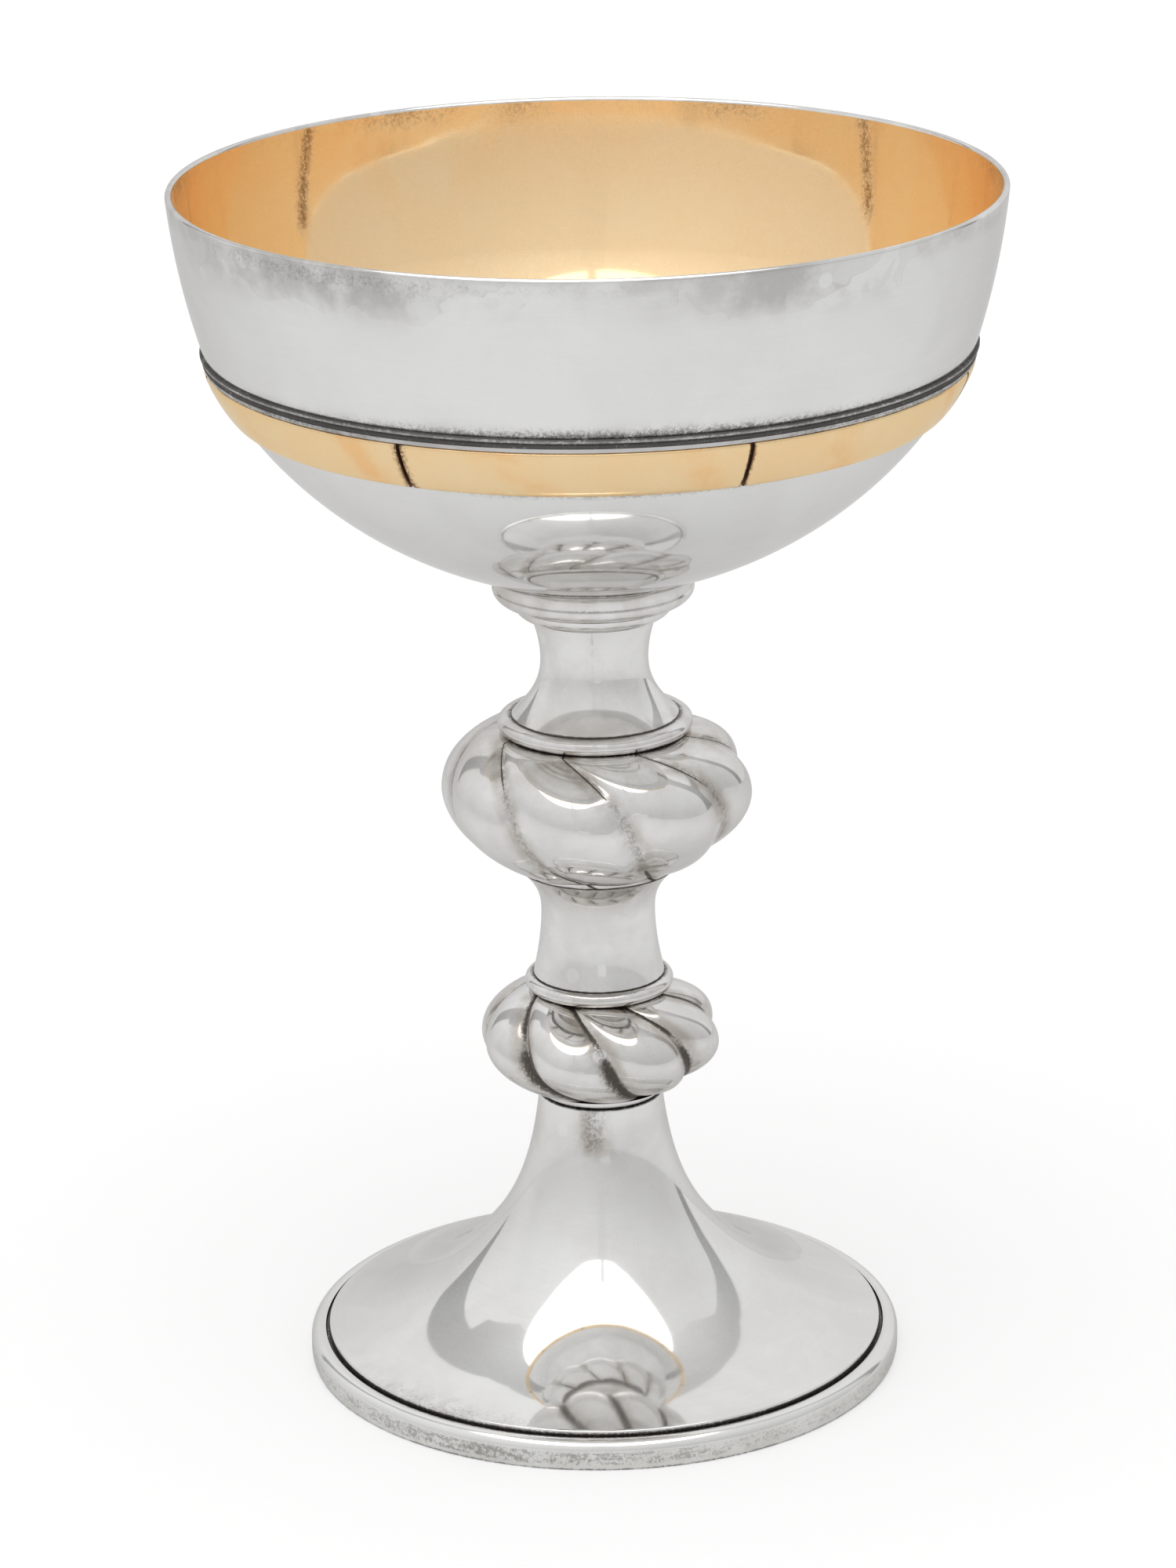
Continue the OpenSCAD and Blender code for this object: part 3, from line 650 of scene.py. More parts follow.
def lobe_share(a, share):
    return share * cos(a) + sqrt((1 - share) ** 2 - (share * sin(a)) ** 2)


def lobed(a, share, blend):
    """Share of the radius at an angle from a lobe's middle, with the next lobes blended in."""
    out = lobe_share(a, share)
    for other in (a - PITCH, a + PITCH):
        if share * abs(sin(other)) < 1 - share:
            beside = lobe_share(other, share)
            close = max(0, blend - abs(out - beside)) / blend
            out = max(out, beside) + close * close * blend / 4
    return out


def swirl(v):
    lat = asin(0.8 * max(-1, min(1, v)))
    return radians(-14 * lat - 24 * lat ** 3)


def knop_outline(h, r_max, mid, above, below, crown, crown_r, hoop):
    """above and below are the reach and the power of the curve on each side of the middle."""
    outer = []
    for a in spread(0, pi, 80):
        z = (h - crown) * (1 - cos(a)) / 2
        if z > hoop[1]:
            outer.append([r_max * round_share(z - mid, *(above if z > mid else below)), z])
    if hoop[1]:
        outer = [[hoop[0] + 0.3 * sin(t * pi), hoop[1] * t]
                 for t in (0, 0.15, 0.35, 0.5, 0.65, 0.85, 1)] + outer
    shoulder = outer[-1][0]
    if crown:
        outer += [[shoulder + (crown_r - shoulder) * t, h - crown + crown * sin(t * pi / 2)]
                  for t in (0.15, 0.3, 0.45, 0.6, 0.8, 1)]
    return outer


def make_knop(part, h, r_max, mid, above, below, share, turn, blend, groove, crown_r=None,
              hoop=(0, 0)):
    """crown_r is the radius of a flat crown on top, and hoop the radius and height of a plain
    ring turned under the lobes; groove says where the metal has darkened."""
    z0 = low(part)
    crown = 0.5 if crown_r else 0
    outer = knop_outline(h, r_max, mid, above, below, crown, crown_r, hoop)
    wide = (r_max - 1.2) * lobe_share(PITCH / 2, share)
    inner = [[KNOP_HOLE, h], [KNOP_HOLE, h - 1.2], [wide * 0.56, h - 2.2],
             [wide * 0.84, mid + (h - mid) * 0.6], [wide, mid], [wide * 0.8, mid * 0.42],
             [max(KNOP_HOLE, wide * 0.38), 1.2], [KNOP_HOLE, 0]]
    bm = spun(outer + inner, 40 * LOBES)
    oxide = bm.verts.layers.float.new("oxide")
    tarnish = bm.verts.layers.float.new("tarnish")
    outline = {round(z * 1000): r for r, z in outer}
    for v in bm.verts:
        x, y, z = v.co / MM
        r, a = hypot(x, y), atan2(y, x) % tau
        lobe = int(a / PITCH + 1e-6)
        part_of = a / PITCH - lobe
        part_of -= 0.7 * sin(tau * part_of) / tau
        crest = outline.get(round(z * 1000))
        if crest is not None and abs(r - crest) < 0.02:
            u = (z - mid) / (h - mid) if z > mid else (z - mid) / mid
            soft = 0.03 + (blend - 0.03) * smooth(abs(u), 0.95, 0.45)
            full = lobed((part_of - 0.5) * PITCH, share, soft)
            if crown:
                full += (1 - full) * smooth(z, h - crown, h)
            if z < hoop[1] + 0.01:
                full = 1
            r *= full
            off = (part_of if part_of < 0.5 else part_of - 1) * PITCH * r
            a = (lobe + part_of) * PITCH + swirl(u)
            v[oxide], v[tarnish] = groove(off, u, degrees(a) + turn, r, z)
        way = a + radians(turn)
        v.co = Vector((r * cos(way), r * sin(way), z + z0)) * MM
    return new_piece(bm, None, part, "chased", crease=50)


# %% [markdown]
# ## Two ways that a groove darkens
# The big knop is rubbed more, so its valleys keep only a brown bloom, and a thin black line stays
# where the groove is deepest, at its ends. The small knop hides under it, and its grooves are
# filled with sulphide that widens towards the bottom.


# %% Make both knops
def rubbed_groove(off, u, angle, r, z):
    """off is the distance from the groove in millimetres; u runs from -1 at the bottom to 1."""
    angle = (angle + 180) % 360 - 180
    wide = 0.3 + 0.5 * smooth(u, -0.35, -0.85)
    line = smooth(abs(off), wide, 0.1 * wide) * smooth(abs(u + 0.05), 0.4, 0.7)
    bloom = 0.42 * smooth(abs(off - 0.2), 2.0, 0.2)
    spill = 14.8 + 1.7 * near(angle, -133, 26) + 1.4 * near(angle, -50, 36)
    seam = 0.75 * smooth(r, spill, 14.2) if u > 0.5 else 0
    hoop = 0.7 * near(z, 1.2, 0.35)
    film = 0.85 * smooth(abs(off), 3.4, 0.4) + 0.2 + 0.3 * smooth(u, 0.45, 0.9)
    return max(line, bloom, seam, hoop), min(1, film)


def filled_groove(off, u, angle, r, z):
    wide = 0.6 + 1.15 * smooth(u, 0.85, -0.3)
    line = smooth(off, 1.05 * wide, 0) if off > 0 else smooth(-off, 2.1 * wide, -0.1 * wide)
    line *= 0.9 - 0.4 * near(u, 0.35, 0.25)
    seam = 0.75 * smooth(abs(u), 0.955, 1.0)
    return max(line, seam), min(1, 0.9 * smooth(abs(off), 3.6, 0.8) + 0.25)


upper_knop = make_knop("upper_knop", h=22.2, r_max=24.45, mid=12.4, above=(12.8, 2.2),
                       below=(14.7, 1.85), share=0.53, turn=12.0, blend=0.11,
                       groove=rubbed_groove, crown_r=14.1, hoop=(12.6, 1.15))
lower_knop = make_knop("lower_knop", h=15.9, r_max=19.25, mid=7.6, above=(9.8, 2.1),
                       below=(9.7, 1.9), share=0.59, turn=5.5, blend=0.06, groove=filled_groove)

# %% [markdown]
# ## The foot
# The foot is one trumpet: a nearly flat disc that sweeps up through a shoulder into the neck. Two
# falling exponential curves meet at the shoulder, which is how the profile reads on the real one.
# Its wall is hollow underneath and the neck is turned in at the top to take the bead's spigot.

# %% Make the foot
FOOT_H = top("foot")
FOOT_R = widest("foot_moulding")
FOOT_W, LIP_W, GROOVE_W, MOULDING_H, MOULDING_W = 94.5, 2.4, 0.55, 4.6, 4.2
EDGE_R, EDGE_Z = FOOT_W / 2 - LIP_W - GROOVE_W, 5.3
SHOULDER_R, SHOULDER_Z, NECK_R, FOOT_WALL = 17.15, 22.3, 9.8, 1.2
SEAT_R = FOOT_W / 2 - MOULDING_W

flare_base = EDGE_Z - 3.9
flare_run = (EDGE_R - SHOULDER_R) / log((SHOULDER_Z - flare_base) / (EDGE_Z - flare_base))
neck_base = NECK_R - 1.25
neck_run = (FOOT_H - SHOULDER_Z) / log((SHOULDER_R - neck_base) / (NECK_R - neck_base))
foot_line = [[r, flare_base + (SHOULDER_Z - flare_base) * exp(-(r - SHOULDER_R) / flare_run)]
             for r in spread(EDGE_R, SHOULDER_R, 60)]
foot_line += [[neck_base + (SHOULDER_R - neck_base) * exp(-(z - SHOULDER_Z) / neck_run), z]
              for z in spread(SHOULDER_Z, FOOT_H, 48)[1:]]
under_top = FOOT_H - FOOT_WALL
foot_inner = [p for p in set_in(foot_line, FOOT_WALL) if p[0] < SEAT_R and p[1] < under_top]
seat_z = EDGE_Z - FOOT_WALL
hole_r = NECK_R - 2.2
loop = [[SEAT_R, seat_z], [EDGE_R, seat_z]] + foot_line
loop += [[hole_r, FOOT_H], [hole_r, under_top], [foot_inner[-1][0], under_top]] + foot_inner[::-1]
foot_bm = spun(rounded(loop, 0.3))


def foot_dark(r, z, angle):
    left = near(angle, -125, 50)
    edge = 0.8 * smooth(z, EDGE_Z - 0.1, EDGE_Z - 0.4) if r > EDGE_R - 0.5 else 0
    specks = 0.33 * smooth(r, EDGE_R - 6, EDGE_R - 0.5) * left
    neck = 0.7 * smooth(z, FOOT_H - 0.3, FOOT_H - 0.02)
    smudge = near(angle, -97, 24) * smooth(z, 35.5, 39)
    film = 0.35 * left * smooth(r, EDGE_R - 6, EDGE_R - 1) + 0.2 * near(z, 39, 6)
    return max(edge, specks, neck, 0.45 * smudge), min(1, film + smudge + 0.06)


foot = new_piece(foot_bm, foot_dark, "foot", "spun")

# %% [markdown]
# ## The moulding round the foot
# A heavy half-round wire stiffens the foot's edge and takes the knocks. Its top is rubbed bright
# and its side is streaked with tarnish, so it has a rounded section here and a finish of its own.

# %% Make the moulding
side_h = MOULDING_H * 0.62
mould = [[SEAT_R, 0]] + quarter(FOOT_R - 0.4, 0, FOOT_R, MOULDING_H * 0.3)
mould += quarter(FOOT_R, side_h, FOOT_R - 1.6, MOULDING_H, upright=True, steps=14)
mould += [[FOOT_R - LIP_W, MOULDING_H], [FOOT_R - LIP_W, seat_z], [SEAT_R, seat_z]]
mould_bm = spun(rounded(mould, 0.18), 256)


def mould_dark(r, z, angle):
    inner = 0.8 * smooth(r, FOOT_R - LIP_W + 0.12, FOOT_R - LIP_W) if z > 3 else 0
    side = 0.75 * smooth(z, 4.0, 2.6)
    toe = 0.5 * smooth(z, 0.8, 0.1)
    worn = side * smooth(z, 0.4, 1.2) * (0.4 + 0.2 * near(angle, -110, 70))
    return max(inner, toe, worn), side


moulding = new_piece(mould_bm, mould_dark, "foot_moulding", "wire")

# %% [markdown]
# ## Building materials from nodes
# All the metals share one recipe: a colour, the darkening carried by the mesh, and noise at real
# sizes. One function adds any node with its settings and links. Object coordinates times a
# thousand are millimetres, so a noise scale of 0.1 means patches about ten millimetres across.
# `SOFT` turns a ramp into an even curve, and `SCALED_SUM` gives input 0 times input 1 plus input 2.


# %% Node and colour helpers
SOFT = {"interpolation_type": "SMOOTHSTEP"}
SCALED_SUM = {"operation": "MULTIPLY_ADD"}


def srgb(code):
    """Linear colour from an sRGB hex code, fully opaque."""
    parts = [int(code[i:i + 2], 16) / 255 for i in (1, 3, 5)]
    return tuple(c / 12.92 if c <= 0.04045 else ((c + 0.055) / 1.055) ** 2.4 for c in parts) + (1,)


def add(tree, kind, inputs=None, out=0, **settings):
    """Adds the node ShaderNode + kind with its settings, and gives one of its outputs.
    inputs are plain values or other nodes' outputs."""
    node = tree.nodes.new("ShaderNode" + kind)
    for key, value in settings.items():
        setattr(node, key, value)
    for key, value in (inputs or {}).items():
        if isinstance(value, bpy.types.NodeSocket):
            tree.links.new(value, node.inputs[key])
        else:
            node.inputs[key].default_value = value
    return node.outputs[out] if node.outputs else node


def new_material(name):
    material = bpy.data.materials.new(name)
    material.use_nodes = True
    material.node_tree.nodes.clear()
    return material, material.node_tree


print("silver in linear light:", [round(c, 3) for c in srgb("#F2F2F1")[:3]])

# %% [markdown]
# ## Polished silver, handled and tarnished
# Sterling silver, turned and then polished by hand, mirrors its surroundings a little softly. Fine
# polishing lines run round the piece, cloudy patches of thin sulphide dull it, and black-brown
# specks thicken where the mesh says so. Drops of washing water have dried on it and left marks with
# a crisp outline. Polishing lines are really a few hundredths of a millimetre apart; they are drawn
# 0.5 mm apart so that they show. The edge tint stays under white, because a thin film of tarnish
# keeps the metal grey even where it is seen at a shallow angle.


# %% Black sulphide in the corners
def sulphide(tree, mm, patch, streak):
    """Share of black: the mesh says how much, and noise breaks its edge into specks."""
    speck = add(tree, "TexNoise", {"Vector": mm, "Scale": 1.7, "Detail": 4.0, "Roughness": 0.7})
    grain = add(tree, "TexNoise", {"Vector": mm, "Scale": 4.5, "Roughness": 0.7})
    oxide = add(tree, "Attribute", out="Fac", attribute_name="oxide")
    noises, begins, full = [(speck, 1.6), (grain, 0.9), (patch, 0.5)], 1.66, 2.25
    if streak:
        noises, begins, full = noises + [(streak, 1.6)], 2.58, 2.88
    amount = oxide
    for noise, weight in noises:
        amount = add(tree, "Math", {0: noise, 1: weight, 2: amount}, **SCALED_SUM)
    most = add(tree, "MapRange", {
        "Value": oxide, "From Min": 0.02, "From Max": 0.8, "To Max": 0.95}, **SOFT)
    return add(tree, "MapRange", {
        "Value": amount, "From Min": begins, "From Max": full, "To Max": most}, **SOFT)


# %% Thin film and dried drops
def thin_film(tree, mm, cloud, patch, streak, streaks, marks):
    """Share of warm film: patches, and outlines of dried water, a narrow slice through noise."""
    tarnish = add(tree, "Attribute", out="Fac", attribute_name="tarnish")
    uneven = add(tree, "Math", {0: patch, 1: 0.45, 2: cloud}, **SCALED_SUM)
    haze = add(tree, "MapRange", {
        "Value": uneven, "From Min": 0.58, "From Max": 0.88, "To Max": tarnish}, **SOFT)
    drop = add(tree, "TexNoise", {
        "Vector": mm, "Scale": 0.11, "Detail": 1.5, "Roughness": 0.4, "Distortion": 1.2})
    drop = add(tree, "Math", {0: tarnish, 1: 0.5, 2: drop}, **SCALED_SUM)
    inside = add(tree, "MapRange", {
        "Value": drop, "From Min": 0.74, "From Max": 0.76, "To Max": 0.45})
    outline = add(tree, "Math", {0: drop, 1: 0.745, 2: 0.007}, operation="COMPARE")
    dried = add(tree, "Math", {0: outline, 1: 0.55, 2: inside}, **SCALED_SUM)
    dried = add(tree, "Math", {0: dried, 1: tarnish}, operation="MULTIPLY")
    haze = add(tree, "Math", {0: dried, 1: marks, 2: haze}, **SCALED_SUM,
               use_clamp=True)

    # Round drops that kept the film off, 2 to 3 mm across: the cores of a few scattered cells.
    core = add(tree, "TexVoronoi", {"Vector": mm, "Scale": 0.12})
    kept = add(tree, "MapRange", {
        "Value": core, "From Min": 0.13, "From Max": 0.16, "To Min": 0.15})
    haze = add(tree, "Math", {0: haze, 1: kept}, operation="MULTIPLY")
    if streak:
        streaked = add(tree, "MapRange", {
            "Value": streak, "From Min": 0.45, "From Max": 0.62, "To Max": tarnish}, **SOFT)
        streaked = add(tree, "Math", {0: streaked, 1: streaks}, operation="MULTIPLY")
        haze = add(tree, "Math", {0: haze, 1: streaked}, operation="MAXIMUM")
    return haze


# %% A worn metal material
def worn_metal(name, clean, warm, black, rough, run=(1.0, 1.0), film=1.0, streaks=0.0,
               waviness=0.03, marks=0.5, edge="#EBEAE9", wiped=0.1):
    """run is how fast the polishing lines count up with radius and with height, waviness is the
    depth of the hammer's waves in millimetres, and wiped is the share of fine scratches."""
    material, tree = new_material(name)
    place = add(tree, "TexCoord", out="Object")
    mm = add(tree, "VectorMath", {0: place, "Scale": 1 / MM}, operation="SCALE")
    flat = add(tree, "VectorMath", {0: mm, 1: (1, 1, 0)}, operation="MULTIPLY")
    radius = add(tree, "VectorMath", {0: flat}, out="Value", operation="LENGTH")
    height = add(tree, "SeparateXYZ", {0: mm}, out="Z")
    climb = add(tree, "Math", {0: height, 1: run[1]}, operation="MULTIPLY")
    path = add(tree, "Math", {0: radius, 1: run[0], 2: climb}, **SCALED_SUM)
    path = add(tree, "CombineXYZ", {"Z": path})

    # Polishing lines 0.5 mm apart, clouds of 17 mm and patches of 4 mm; specks are finer still.
    round_it = add(tree, "VectorMath", {0: flat, 1: (0.05, 0.05, 0), 2: path},
                   **SCALED_SUM)
    lines = add(tree, "TexNoise", {
        "Vector": round_it, "Scale": 2.0, "Detail": 3.0, "Roughness": 0.6})
    cloud = add(tree, "TexNoise", {
        "Vector": mm, "Scale": 0.06, "Detail": 6.0, "Roughness": 0.55, "Distortion": 0.5})
    patch = add(tree, "TexNoise", {
        "Vector": mm, "Scale": 0.28, "Detail": 5.0, "Roughness": 0.6, "Distortion": 0.3})
    streak = None
    if streaks:
        stretch = add(tree, "VectorMath", {0: flat, 1: (0.3, 0.3, 0), 2: path},
                      **SCALED_SUM)
        streak = add(tree, "TexNoise", {
            "Vector": stretch, "Scale": 1.4, "Detail": 7.0, "Roughness": 0.75})
    mask = sulphide(tree, mm, patch, streak)
    haze = thin_film(tree, mm, cloud, patch, streak, streaks, marks)

    # Colour, from the clean metal up.
    shade = add(tree, "MapRange", {
        "Value": cloud, "From Min": 0.3, "From Max": 0.75, "To Max": 0.1}, **SOFT)
    shade = add(tree, "Math", {0: lines, 1: 0.09, 2: shade}, **SCALED_SUM)
    thin = add(tree, "Math", {0: haze, 1: 0.7 * film}, operation="MULTIPLY")
    base = srgb(clean)
    for share, colour in ((shade, warm), (thin, warm), (mask, black)):
        base = add(tree, "Mix", {"Factor": share, "A": base, "B": srgb(colour)}, out="Result",
                   data_type="RGBA")

    # Film and sulphide are duller than bare metal.
    dull = add(tree, "MapRange", {"Value": cloud, "From Min": 0.35, "From Max": 0.8,
                                  "To Min": rough - 0.01, "To Max": rough + 0.025})
    for share, more in ((lines, 0.02), (haze, 0.08), (mask, 0.35)):
        dull = add(tree, "Math", {0: share, 1: more, 2: dull}, **SCALED_SUM)

    # Scratches from wiping, a few hundredths of a millimetre apart, scatter the lamp into a glow.
    wipe = add(tree, "TexNoise", {"Vector": mm, "Scale": 30.0, "Detail": 0.0})
    least = 0.72 - 0.55 * wiped
    scratched = add(tree, "MapRange", {
        "Value": wipe, "From Min": least, "From Max": least + 0.04, "To Max": 0.42})
    dull = add(tree, "Math", {0: dull, 1: scratched}, operation="ADD")

    # Long shallow waves from the hammer, faint polishing lines, and a dip under the sulphide.
    relief = add(tree, "TexNoise", {"Vector": mm, "Scale": 0.07})
    for share, lift in ((mask, -0.5), (lines, 0.02)):
        relief = add(tree, "Math", {0: share, 1: lift, 2: relief}, **SCALED_SUM)
    bump = add(tree, "Bump", {"Height": relief, "Distance": waviness * MM})
    surface = add(tree, "BsdfPrincipled", {
        "Base Color": base, "Metallic": 1.0, "Roughness": dull, "Normal": bump,
        "Specular Tint": srgb(edge)})
    add(tree, "OutputMaterial", {"Surface": surface})
    return material


# %% Silver for each kind of piece
polished_cup = worn_metal("polished_silver_raised", "#F5F5F4", "#ADA9A5", "#504B46", rough=0.05,
                          film=0.85, waviness=0.035, marks=0.8)
polished_stem = worn_metal("polished_silver_turned", "#F5F5F4", "#B3A99E", "#534D47",
                           rough=0.045, run=(0.3, 1.0), waviness=0.02, marks=0.4)
polished_foot = worn_metal("polished_silver_spun", "#F5F5F4", "#B3A99E", "#4B4641",
                           rough=0.045, run=(1.0, -1.0), waviness=0.02, marks=0.4)
worn_wire = worn_metal("tarnished_silver_wire", "#F6F6F4", "#C2BCB4", "#5A544E", rough=0.08,
                       run=(1.0, -1.0), film=0.3, streaks=0.6)
dark_wire = worn_metal("oxidised_silver_wire", "#D9D8D7", "#94928F", "#62605E", rough=0.12,
                       streaks=0.6)
for finish, pieces in (
        (polished_cup, (cup, cross)), (polished_foot, (foot,)), (worn_wire, (moulding,)),
        (dark_wire, (wire,)), (polished_stem, (flange, collar_ring, upper_stem, middle_stem,
                                               *rings, upper_knop, lower_knop))):
    for piece in pieces:
        piece.data.materials.append(finish)
    print(finish.name, "is on", len(pieces), "pieces")

# %% [markdown]
# ## Gilding
# Fire gilding over silver is a pale warm gold, burnished to a mirror inside the cup. Light that
# bounces twice inside the bowl turns amber by itself. The band outside is a little redder where
# fingers have worn and stained it, and a brown line of old polish fills its joints.

# %% Gilt materials
gilt_mirror = worn_metal("burnished_gilding", "#FFE5BA", "#FFC57C", "#7A5530", rough=0.045,
                         run=(0.0, 1.0), film=0.7, marks=0.3, edge="#FAF4E6", wiped=0.38)
gilt_moulding = worn_metal("gilt_silver_moulding", "#FFE4B6", "#FFC682", "#704C38", rough=0.08,
                           run=(0.0, 1.0), film=0.8, waviness=0.02, edge="#F8F2E4", wiped=0.3)
lining.data.materials.append(gilt_mirror)
band.data.materials.append(gilt_moulding)
print("gilt finishes:", gilt_mirror.name, gilt_moulding.name)

# %% [markdown]
# ## The fastenings out of sight
# The boss, the disc in the neck, the rod, its washer and its nut keep the frame's own meshes,
# because turned pins and a plain nut are exactly their solids. They get workshop finishes: dull
# unpolished silver, and grey steel with the marks of the tool.

# %% Finish the fastenings
workshop_silver = worn_metal("unpolished_silver", "#B9B6B0", "#8A8075", "#3A322B", rough=0.32,
                             run=(0.5, 1.0), waviness=0.04)
grey_steel = worn_metal("turned_steel", "#9FA2A5", "#7C7A76", "#3B3833", rough=0.28,
                        run=(0.5, 1.0), waviness=0.04)
for finish, parts in ((workshop_silver, ("cup_boss", "neck_disc")),
                      (grey_steel, ("tie_rod", "washer", "nut"))):
    for part in parts:
        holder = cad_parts[part]
        holder.data.materials.clear()
        holder.data.materials.append(finish)
    print(*parts, "in", finish.name)

# %% [markdown]
# ## Floor, light and surroundings
# Polished metal shows its surroundings, so the room is part of the finish. The cup stands in a
# tent of white cloth, under one wide oval softbox that hangs in front of it. The cloth doesn't
# close at the two back corners, and the dim room shows through there: that gives the grey bells
# on the foot and the dark slits on the stems. These pieces of the tent are seen only in
# reflections and cast no shadow.


# %% Make the floor
def stage_piece(mesh, paint):
    mesh.materials.append(paint)
    piece = placed(mesh.name, mesh)
    piece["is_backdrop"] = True
    return piece


def mirrored_only(mesh, paint):
    """Puts a mesh in the studio where only reflections show it."""
    piece = stage_piece(mesh, paint)
    piece.visible_camera = piece.visible_shadow = piece.visible_diffuse = False


def sheet_of(name, corners):
    """A flat sheet through corners in metres."""
    bm = bmesh.new()
    bm.faces.new([bm.verts.new(c) for c in corners])
    bmesh.ops.triangulate(bm, faces=bm.faces[:])
    return mesh_of(bm, name)


LAMP_AT = (-0.04, -0.17, 0.70)
paper, tree = new_material("white_paper_floor")
rays = add(tree, "LightPath").node.outputs
# The lamp adds light on the paper below it, so the paper glows less there.
place = add(tree, "TexCoord", out="Object")
from_lamp = add(tree, "VectorMath", {0: place, 1: LAMP_AT[:2] + (0,)}, out="Value",
                operation="DISTANCE")
even = {"Value": from_lamp, "From Max": 1.05}
seen = add(tree, "MapRange", even | {"To Min": 0.37, "To Max": 0.59}, **SOFT)
mirrored = add(tree, "MapRange", even | {"To Min": 0.11, "To Max": 0.2}, **SOFT)
lift = add(tree, "Math", {0: mirrored, 1: rays["Is Glossy Ray"]}, operation="MULTIPLY")
lift = add(tree, "Math", {0: rays["Is Camera Ray"], 1: seen, 2: lift}, **SCALED_SUM)
matt = add(tree, "BsdfDiffuse", {"Color": (0.7, 0.7, 0.7, 1)})
glow = add(tree, "Emission", {"Strength": lift})
both = add(tree, "AddShader", {0: matt, 1: glow})
add(tree, "OutputMaterial", {"Surface": both})
stage_piece(sheet_of("floor", [(-6, -6, 0), (6, -6, 0), (6, 6, 0), (-6, 6, 0)]), paper)
print("floor is 12 m square")


# %% Make the tent's cloth
def cloth(name, at_low, at_top, front_gain=0.0, side_gain=0.0):
    """How bright the cloth is low down and high up, with gains to the front and to the left."""
    material, tree = new_material(name)
    place = add(tree, "TexCoord", out="Object")
    parts = add(tree, "SeparateXYZ", {0: place}).node.outputs
    level = add(tree, "MapRange", {"Value": parts["Z"], "From Min": 0.2, "From Max": 1.45,
                                   "To Min": at_low, "To Max": at_top})
    for axis, start, end, gain in (("Y", 0.6, 0.1, front_gain), ("X", 0.9, -0.9, side_gain)):
        more = add(tree, "MapRange", {
            "Value": parts[axis], "From Min": start, "From Max": end, "To Max": gain})
        level = add(tree, "Math", {0: level, 1: more}, operation="ADD")
    add(tree, "OutputMaterial", {"Surface": add(tree, "Emission", {"Strength": level})})
    return material


TENT_R, OPENING_R = 1.75, 1.6


def tent_piece(name, paint, corners):
    """corners are (angle from the front towards the right, angle of height) in degrees."""
    turned = [(radians(way), radians(rise)) for way, rise in corners]
    mirrored_only(sheet_of(name, [OPENING_R * Vector((
        sin(way) * cos(rise), -cos(way) * cos(rise), sin(rise)))
        for way, rise in turned]), paint)


tent_bm = bmesh.new()
bmesh.ops.create_icosphere(tent_bm, subdivisions=4, radius=TENT_R)
bmesh.ops.delete(tent_bm, geom=[v for v in tent_bm.verts if v.co.z < -0.1], context="VERTS")
mirrored_only(mesh_of(tent_bm, "tent_cloth"),
              cloth("white_tent_cloth", 0.63, 0.82, front_gain=-0.06, side_gain=0.09))

dim_room = cloth("dim_room_beyond", 0.31, 0.58, front_gain=0.14)
tent_piece("tent_gap_left", dim_room, [
    (-134, 3), (-129, 30), (-126, 46.5), (-116, 48), (-98, 59), (-98, 72), (-150, 72), (-150, 61),
    (-145, 58), (-142, 22)])
tent_piece("tent_gap_right", dim_room, [
    (117, -1), (117, 26), (113, 40), (112, 49), (98, 59), (98, 72), (150, 72), (150, 61),
    (138, 57), (126, 45), (125, -1)])
tent_piece("tent_back_ceiling", dim_room, [
    (-150, 61), (-150, 72), (150, 72), (150, 61), (180, 62)])
tent_piece("tent_bright_side", cloth("bright_side_cloth", 0.8, 0.84), [
    (127, -1), (127, 45), (139, 56), (150, 60), (176, 61), (176, -1)])
tent_piece("tent_front_shade", cloth("shaded_front_cloth", 0.62, 0.77), [
    (-6, 9), (-6, 54), (3, 54), (3, 9)])
tent_piece("tent_window", cloth("window_cloth", 0.74, 0.75), [
    (-2.5, -4), (12.5, -4), (12.5, 4), (-2.5, 4)])
boom = [(x, y, LAMP_AT[2] - 0.01)
        for x, y in ((-0.03, -0.545), (0.004, -0.545), (0.004, -0.40), (-0.03, -0.40))]
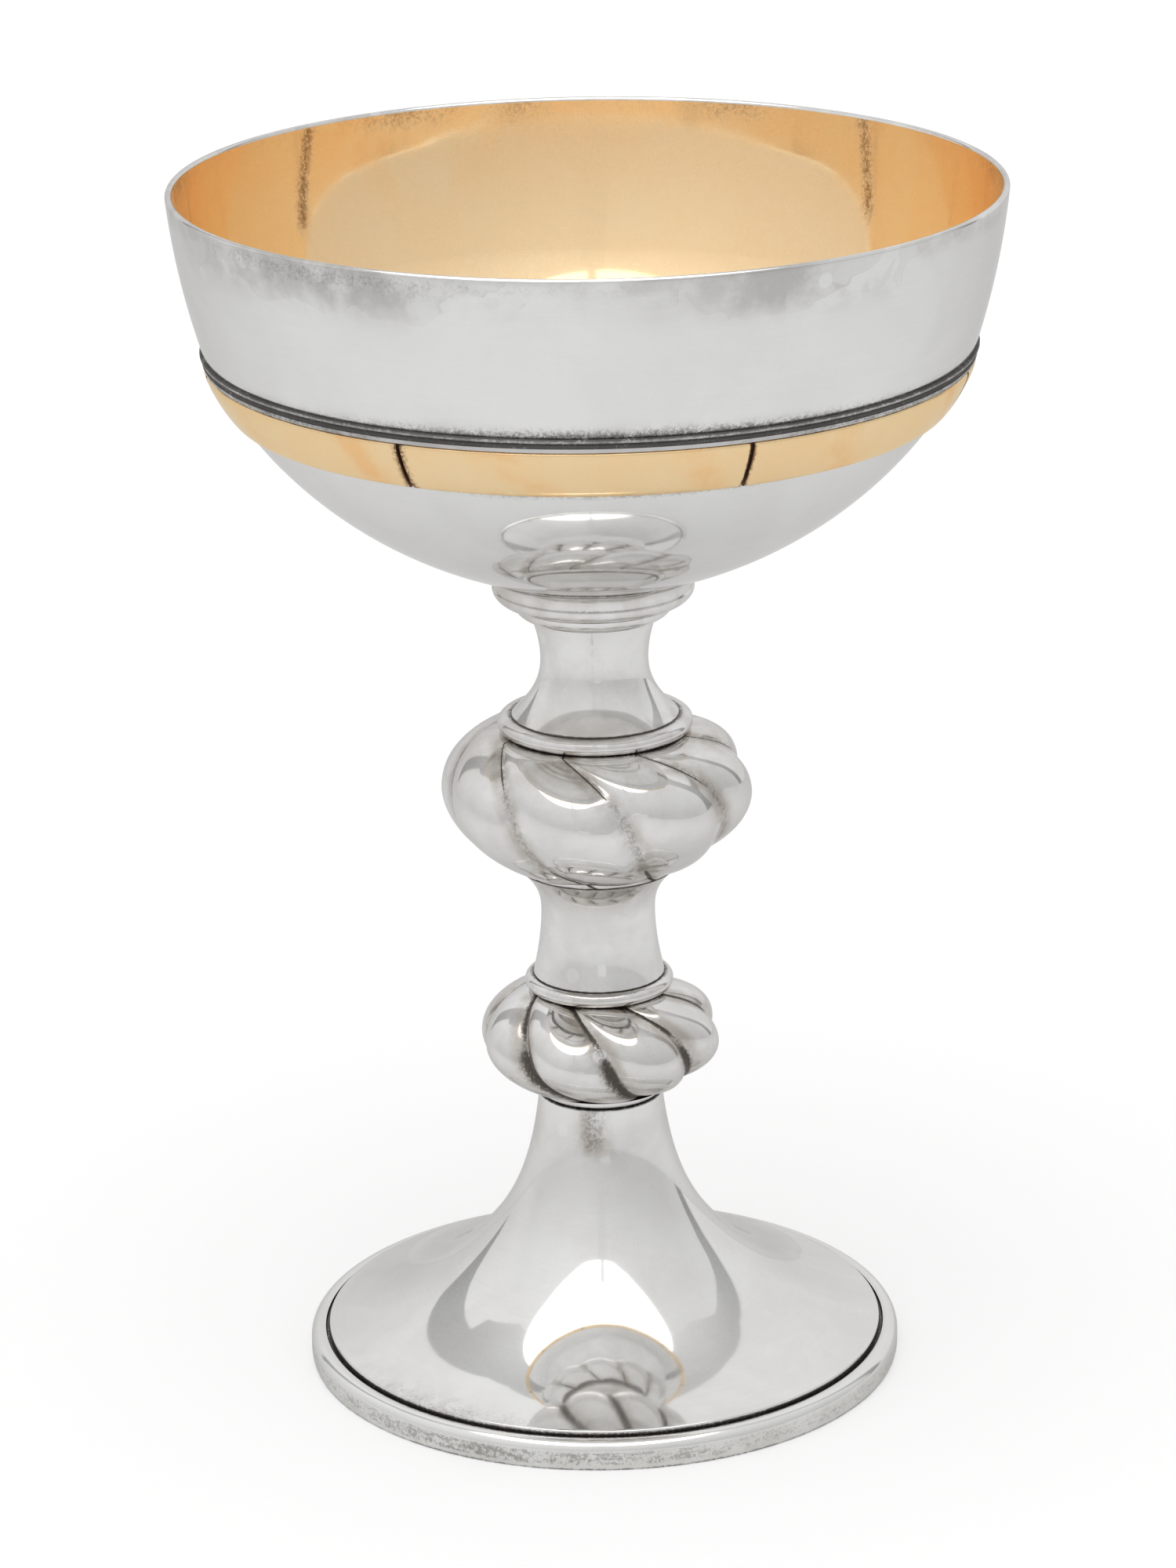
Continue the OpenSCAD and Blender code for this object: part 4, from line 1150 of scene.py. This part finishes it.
mirrored_only(sheet_of("lamp_boom", boom), cloth("lamp_boom_cloth", 0.85, 0.85))
print("the tent has two open corners, a bright side and a small window")

# %% [markdown]
# ## Sky and lamp
# The white sky and the lamp together light a white card to about its own brightness, so a colour
# renders about as it is written. The camera sees the sky as plain white.

# %% Make the lamp and the sky
world = bpy.data.worlds.new("white_room")
bpy.context.scene.world = world
world.use_nodes = True
tree = world.node_tree
tree.nodes.clear()
rays = add(tree, "LightPath").node.outputs
level = 0.65
for ray, more in (("Is Glossy Ray", 0.09), ("Is Camera Ray", 0.35)):
    level = add(tree, "Math", {0: rays[ray], 1: more, 2: level}, **SCALED_SUM)
sky = add(tree, "Background", {"Color": (1, 1, 1, 1), "Strength": level})
add(tree, "OutputWorld", {"Surface": sky})


def oval_lamp(name, width, depth, location, brightness):
    """A softbox facing down; brightness is how it shows in a mirror, where paper is 1."""
    data = bpy.data.lights.new(name, "AREA")
    data.shape, data.size, data.size_y = "ELLIPSE", width, depth
    data.energy = brightness * pi * pi / 4 * width * depth
    lamp = placed(name, data)
    lamp.location = location
    return lamp


softbox = oval_lamp("oval_softbox", width=0.72, depth=0.76, location=LAMP_AT, brightness=1.5)
print(f"softbox of {softbox.data.energy:.1f} W and a white sky")

# %% [markdown]
# ## The camera
# The view looks down a little more than eighteen degrees from just under a metre in front. The
# lens is long, so the cup's ellipses stay calm.

# %% Place the camera
eye = bpy.data.cameras.new("studio_camera")
eye.sensor_width, eye.lens = 36, 123.2
camera = placed("studio_camera", eye)
pitch, yaw, roll = 18.855, 0.093, -0.900
stand = Matrix.Translation((0, -0.7923, 0.3659))
for turn, axis in ((yaw, "Z"), (90 - pitch, "X"), (roll, "Z")):
    stand = stand @ Matrix.Rotation(radians(turn), 4, axis)
camera.matrix_world = stand
bpy.context.scene.camera = camera
bpy.context.scene.view_settings.view_transform = "Standard"

# %% Print the sizes of both boxes
new_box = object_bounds()
for name, box in (("solid", cad_box), ("visual", new_box)):
    print(name, "box in mm:", [[round(n / MM, 2) for n in c] for c in box])
